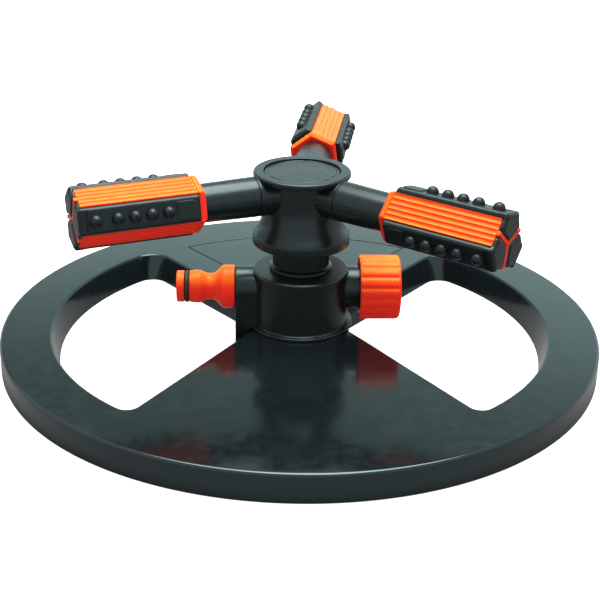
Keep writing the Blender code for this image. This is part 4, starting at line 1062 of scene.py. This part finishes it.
def pillow_outline(shrink):
    """A third of the head's end, 0.3 mm clear of the Y and a little inside the orange faces."""
    clear, reach = Y_HALF + SEAT_GAP, FACE_REACH - 0.7
    half_face = FACE_WIDTH / 2
    corners = [(clear / SIN_60, 0, 1.2)]
    side = [(reach / 2 + clear * SIN_60, reach * SIN_60 - clear / 2, 2.2),
            (reach / 2 + half_face * SIN_60, reach * SIN_60 - half_face / 2, 1.5),
            (STRIP_REACH, STRIP_HALF, STRIP_ROUND)]
    corners += [(x, -y, fillet) for x, y, fillet in side] + side[::-1]
    middle, scale = 8.0, 1 - shrink / 7.0
    return [(middle + (x - middle) * scale, y * scale) for x, y in rounded(corners, 6)]


def pillow_shape():
    """The pillow over the end: straight for a moment, then a quarter round up to a flat top."""
    foot, shoulder = HEAD_END + 0.15, HEAD_END + 0.6
    sections = [(pillow_outline(0.3), foot), (pillow_outline(0), foot + 0.2)]
    for turn in (math.radians(10 * i) for i in range(10)):
        sections.append((pillow_outline(PILLOW_ROUND * (1 - math.cos(turn))),
                         shoulder + (LOBE_END - shoulder) * math.sin(turn)))
    return stacked_shape(sections)


print("pillow", round(LOBE_END - HEAD_END, 2), "mm high")

# %% Pad, nozzles and the whole strips
DOME_PLACES = [74.7, 83.0, 91.3, 99.6, 110.2]


def pad_shape():
    """The long pad at the inner end: flat on top with a round start."""
    start, end, half = STRIP_START + 1.2, STRIP_START + 12.0, 4.6
    sections = []
    for inset, reach in ((0, 14.2), (0, 14.95), (0.06, 15.1), (0.2, 15.21), (0.45, 15.25)):
        low, high, side = start + inset, end - inset, half - inset
        outline = rounded([(low, -side, 3.2), (high, -side, 1.0), (high, side, 1.0), (low, side, 3.2)], 8)
        sections.append((outline, reach))
    points, faces = stacked_shape(sections)
    return [(z, y, x) for x, y, z in points], faces


def dome_shape(place):
    """A nozzle: a low dome with a spray hole in its crown, standing on the bar."""
    profile = [(0, 2.4, 0), (0.45, 2.4, 0.1), (0.55, 3.27, 0.12)]
    profile += [(3.0 * math.sin(angle), 0.4 + 2.95 * math.cos(angle), 0)
                for angle in (math.radians(18 + 9 * i) for i in range(9))]
    profile += [(3.1, -0.6, 0), (0, -0.6, 0)]
    points, faces = turned_shape(profile, 32, 2)
    return [(STRIP_REACH + z, y, place + x) for x, y, z in points], faces


strip_parts = merged(bar_shape(), lobe_shape(), pillow_shape(), pad_shape(),
                     *[dome_shape(z) for z in DOME_PLACES])
for number, place in enumerate(head_places, 1):
    for k in range(3):
        turn = Matrix.Rotation(math.tau * (k + 0.5) / 3, 4, "Z")
        piece(f"head_{number}_strip_{k + 1}", strip_parts, nozzle_abs, f"head_{number}",
              [f"nozzle_strip_{number}_{k + 1}"], place @ turn)
print(len(DOME_PLACES), "nozzles on each of 9 strips")

# %% [markdown]
# ## The pieces inside
#
# The seals, washers, clips and screws keep the solid model's shapes, because they are small and
# mostly hidden. Each only takes its own material.

# %% Materials of the inner pieces
INNER_FINISHES = {
    "black_rubber": rubber,
    "white_acetal": acetal,
    "zinc_steel": zinc_steel,
    "black_plastic": body_abs,
    "black_nozzle_plastic": nozzle_abs,
    "orange_plastic": orange_abs,
}
slots = {entry["node"]: entry["material_slot"] for entry in frame["record"]["subparts"]}
for node_name, node in frame["nodes"].items():
    dress(node.data, INNER_FINISHES[slots[node_name]])
print(sum(1 for node in frame["nodes"].values() if not node.hide_render), "solids still shown")

# %% [markdown]
# ## Size and finish
#
# The dressed sprinkler has to keep the size of the solid model.

# %% Sizes and finish
import json
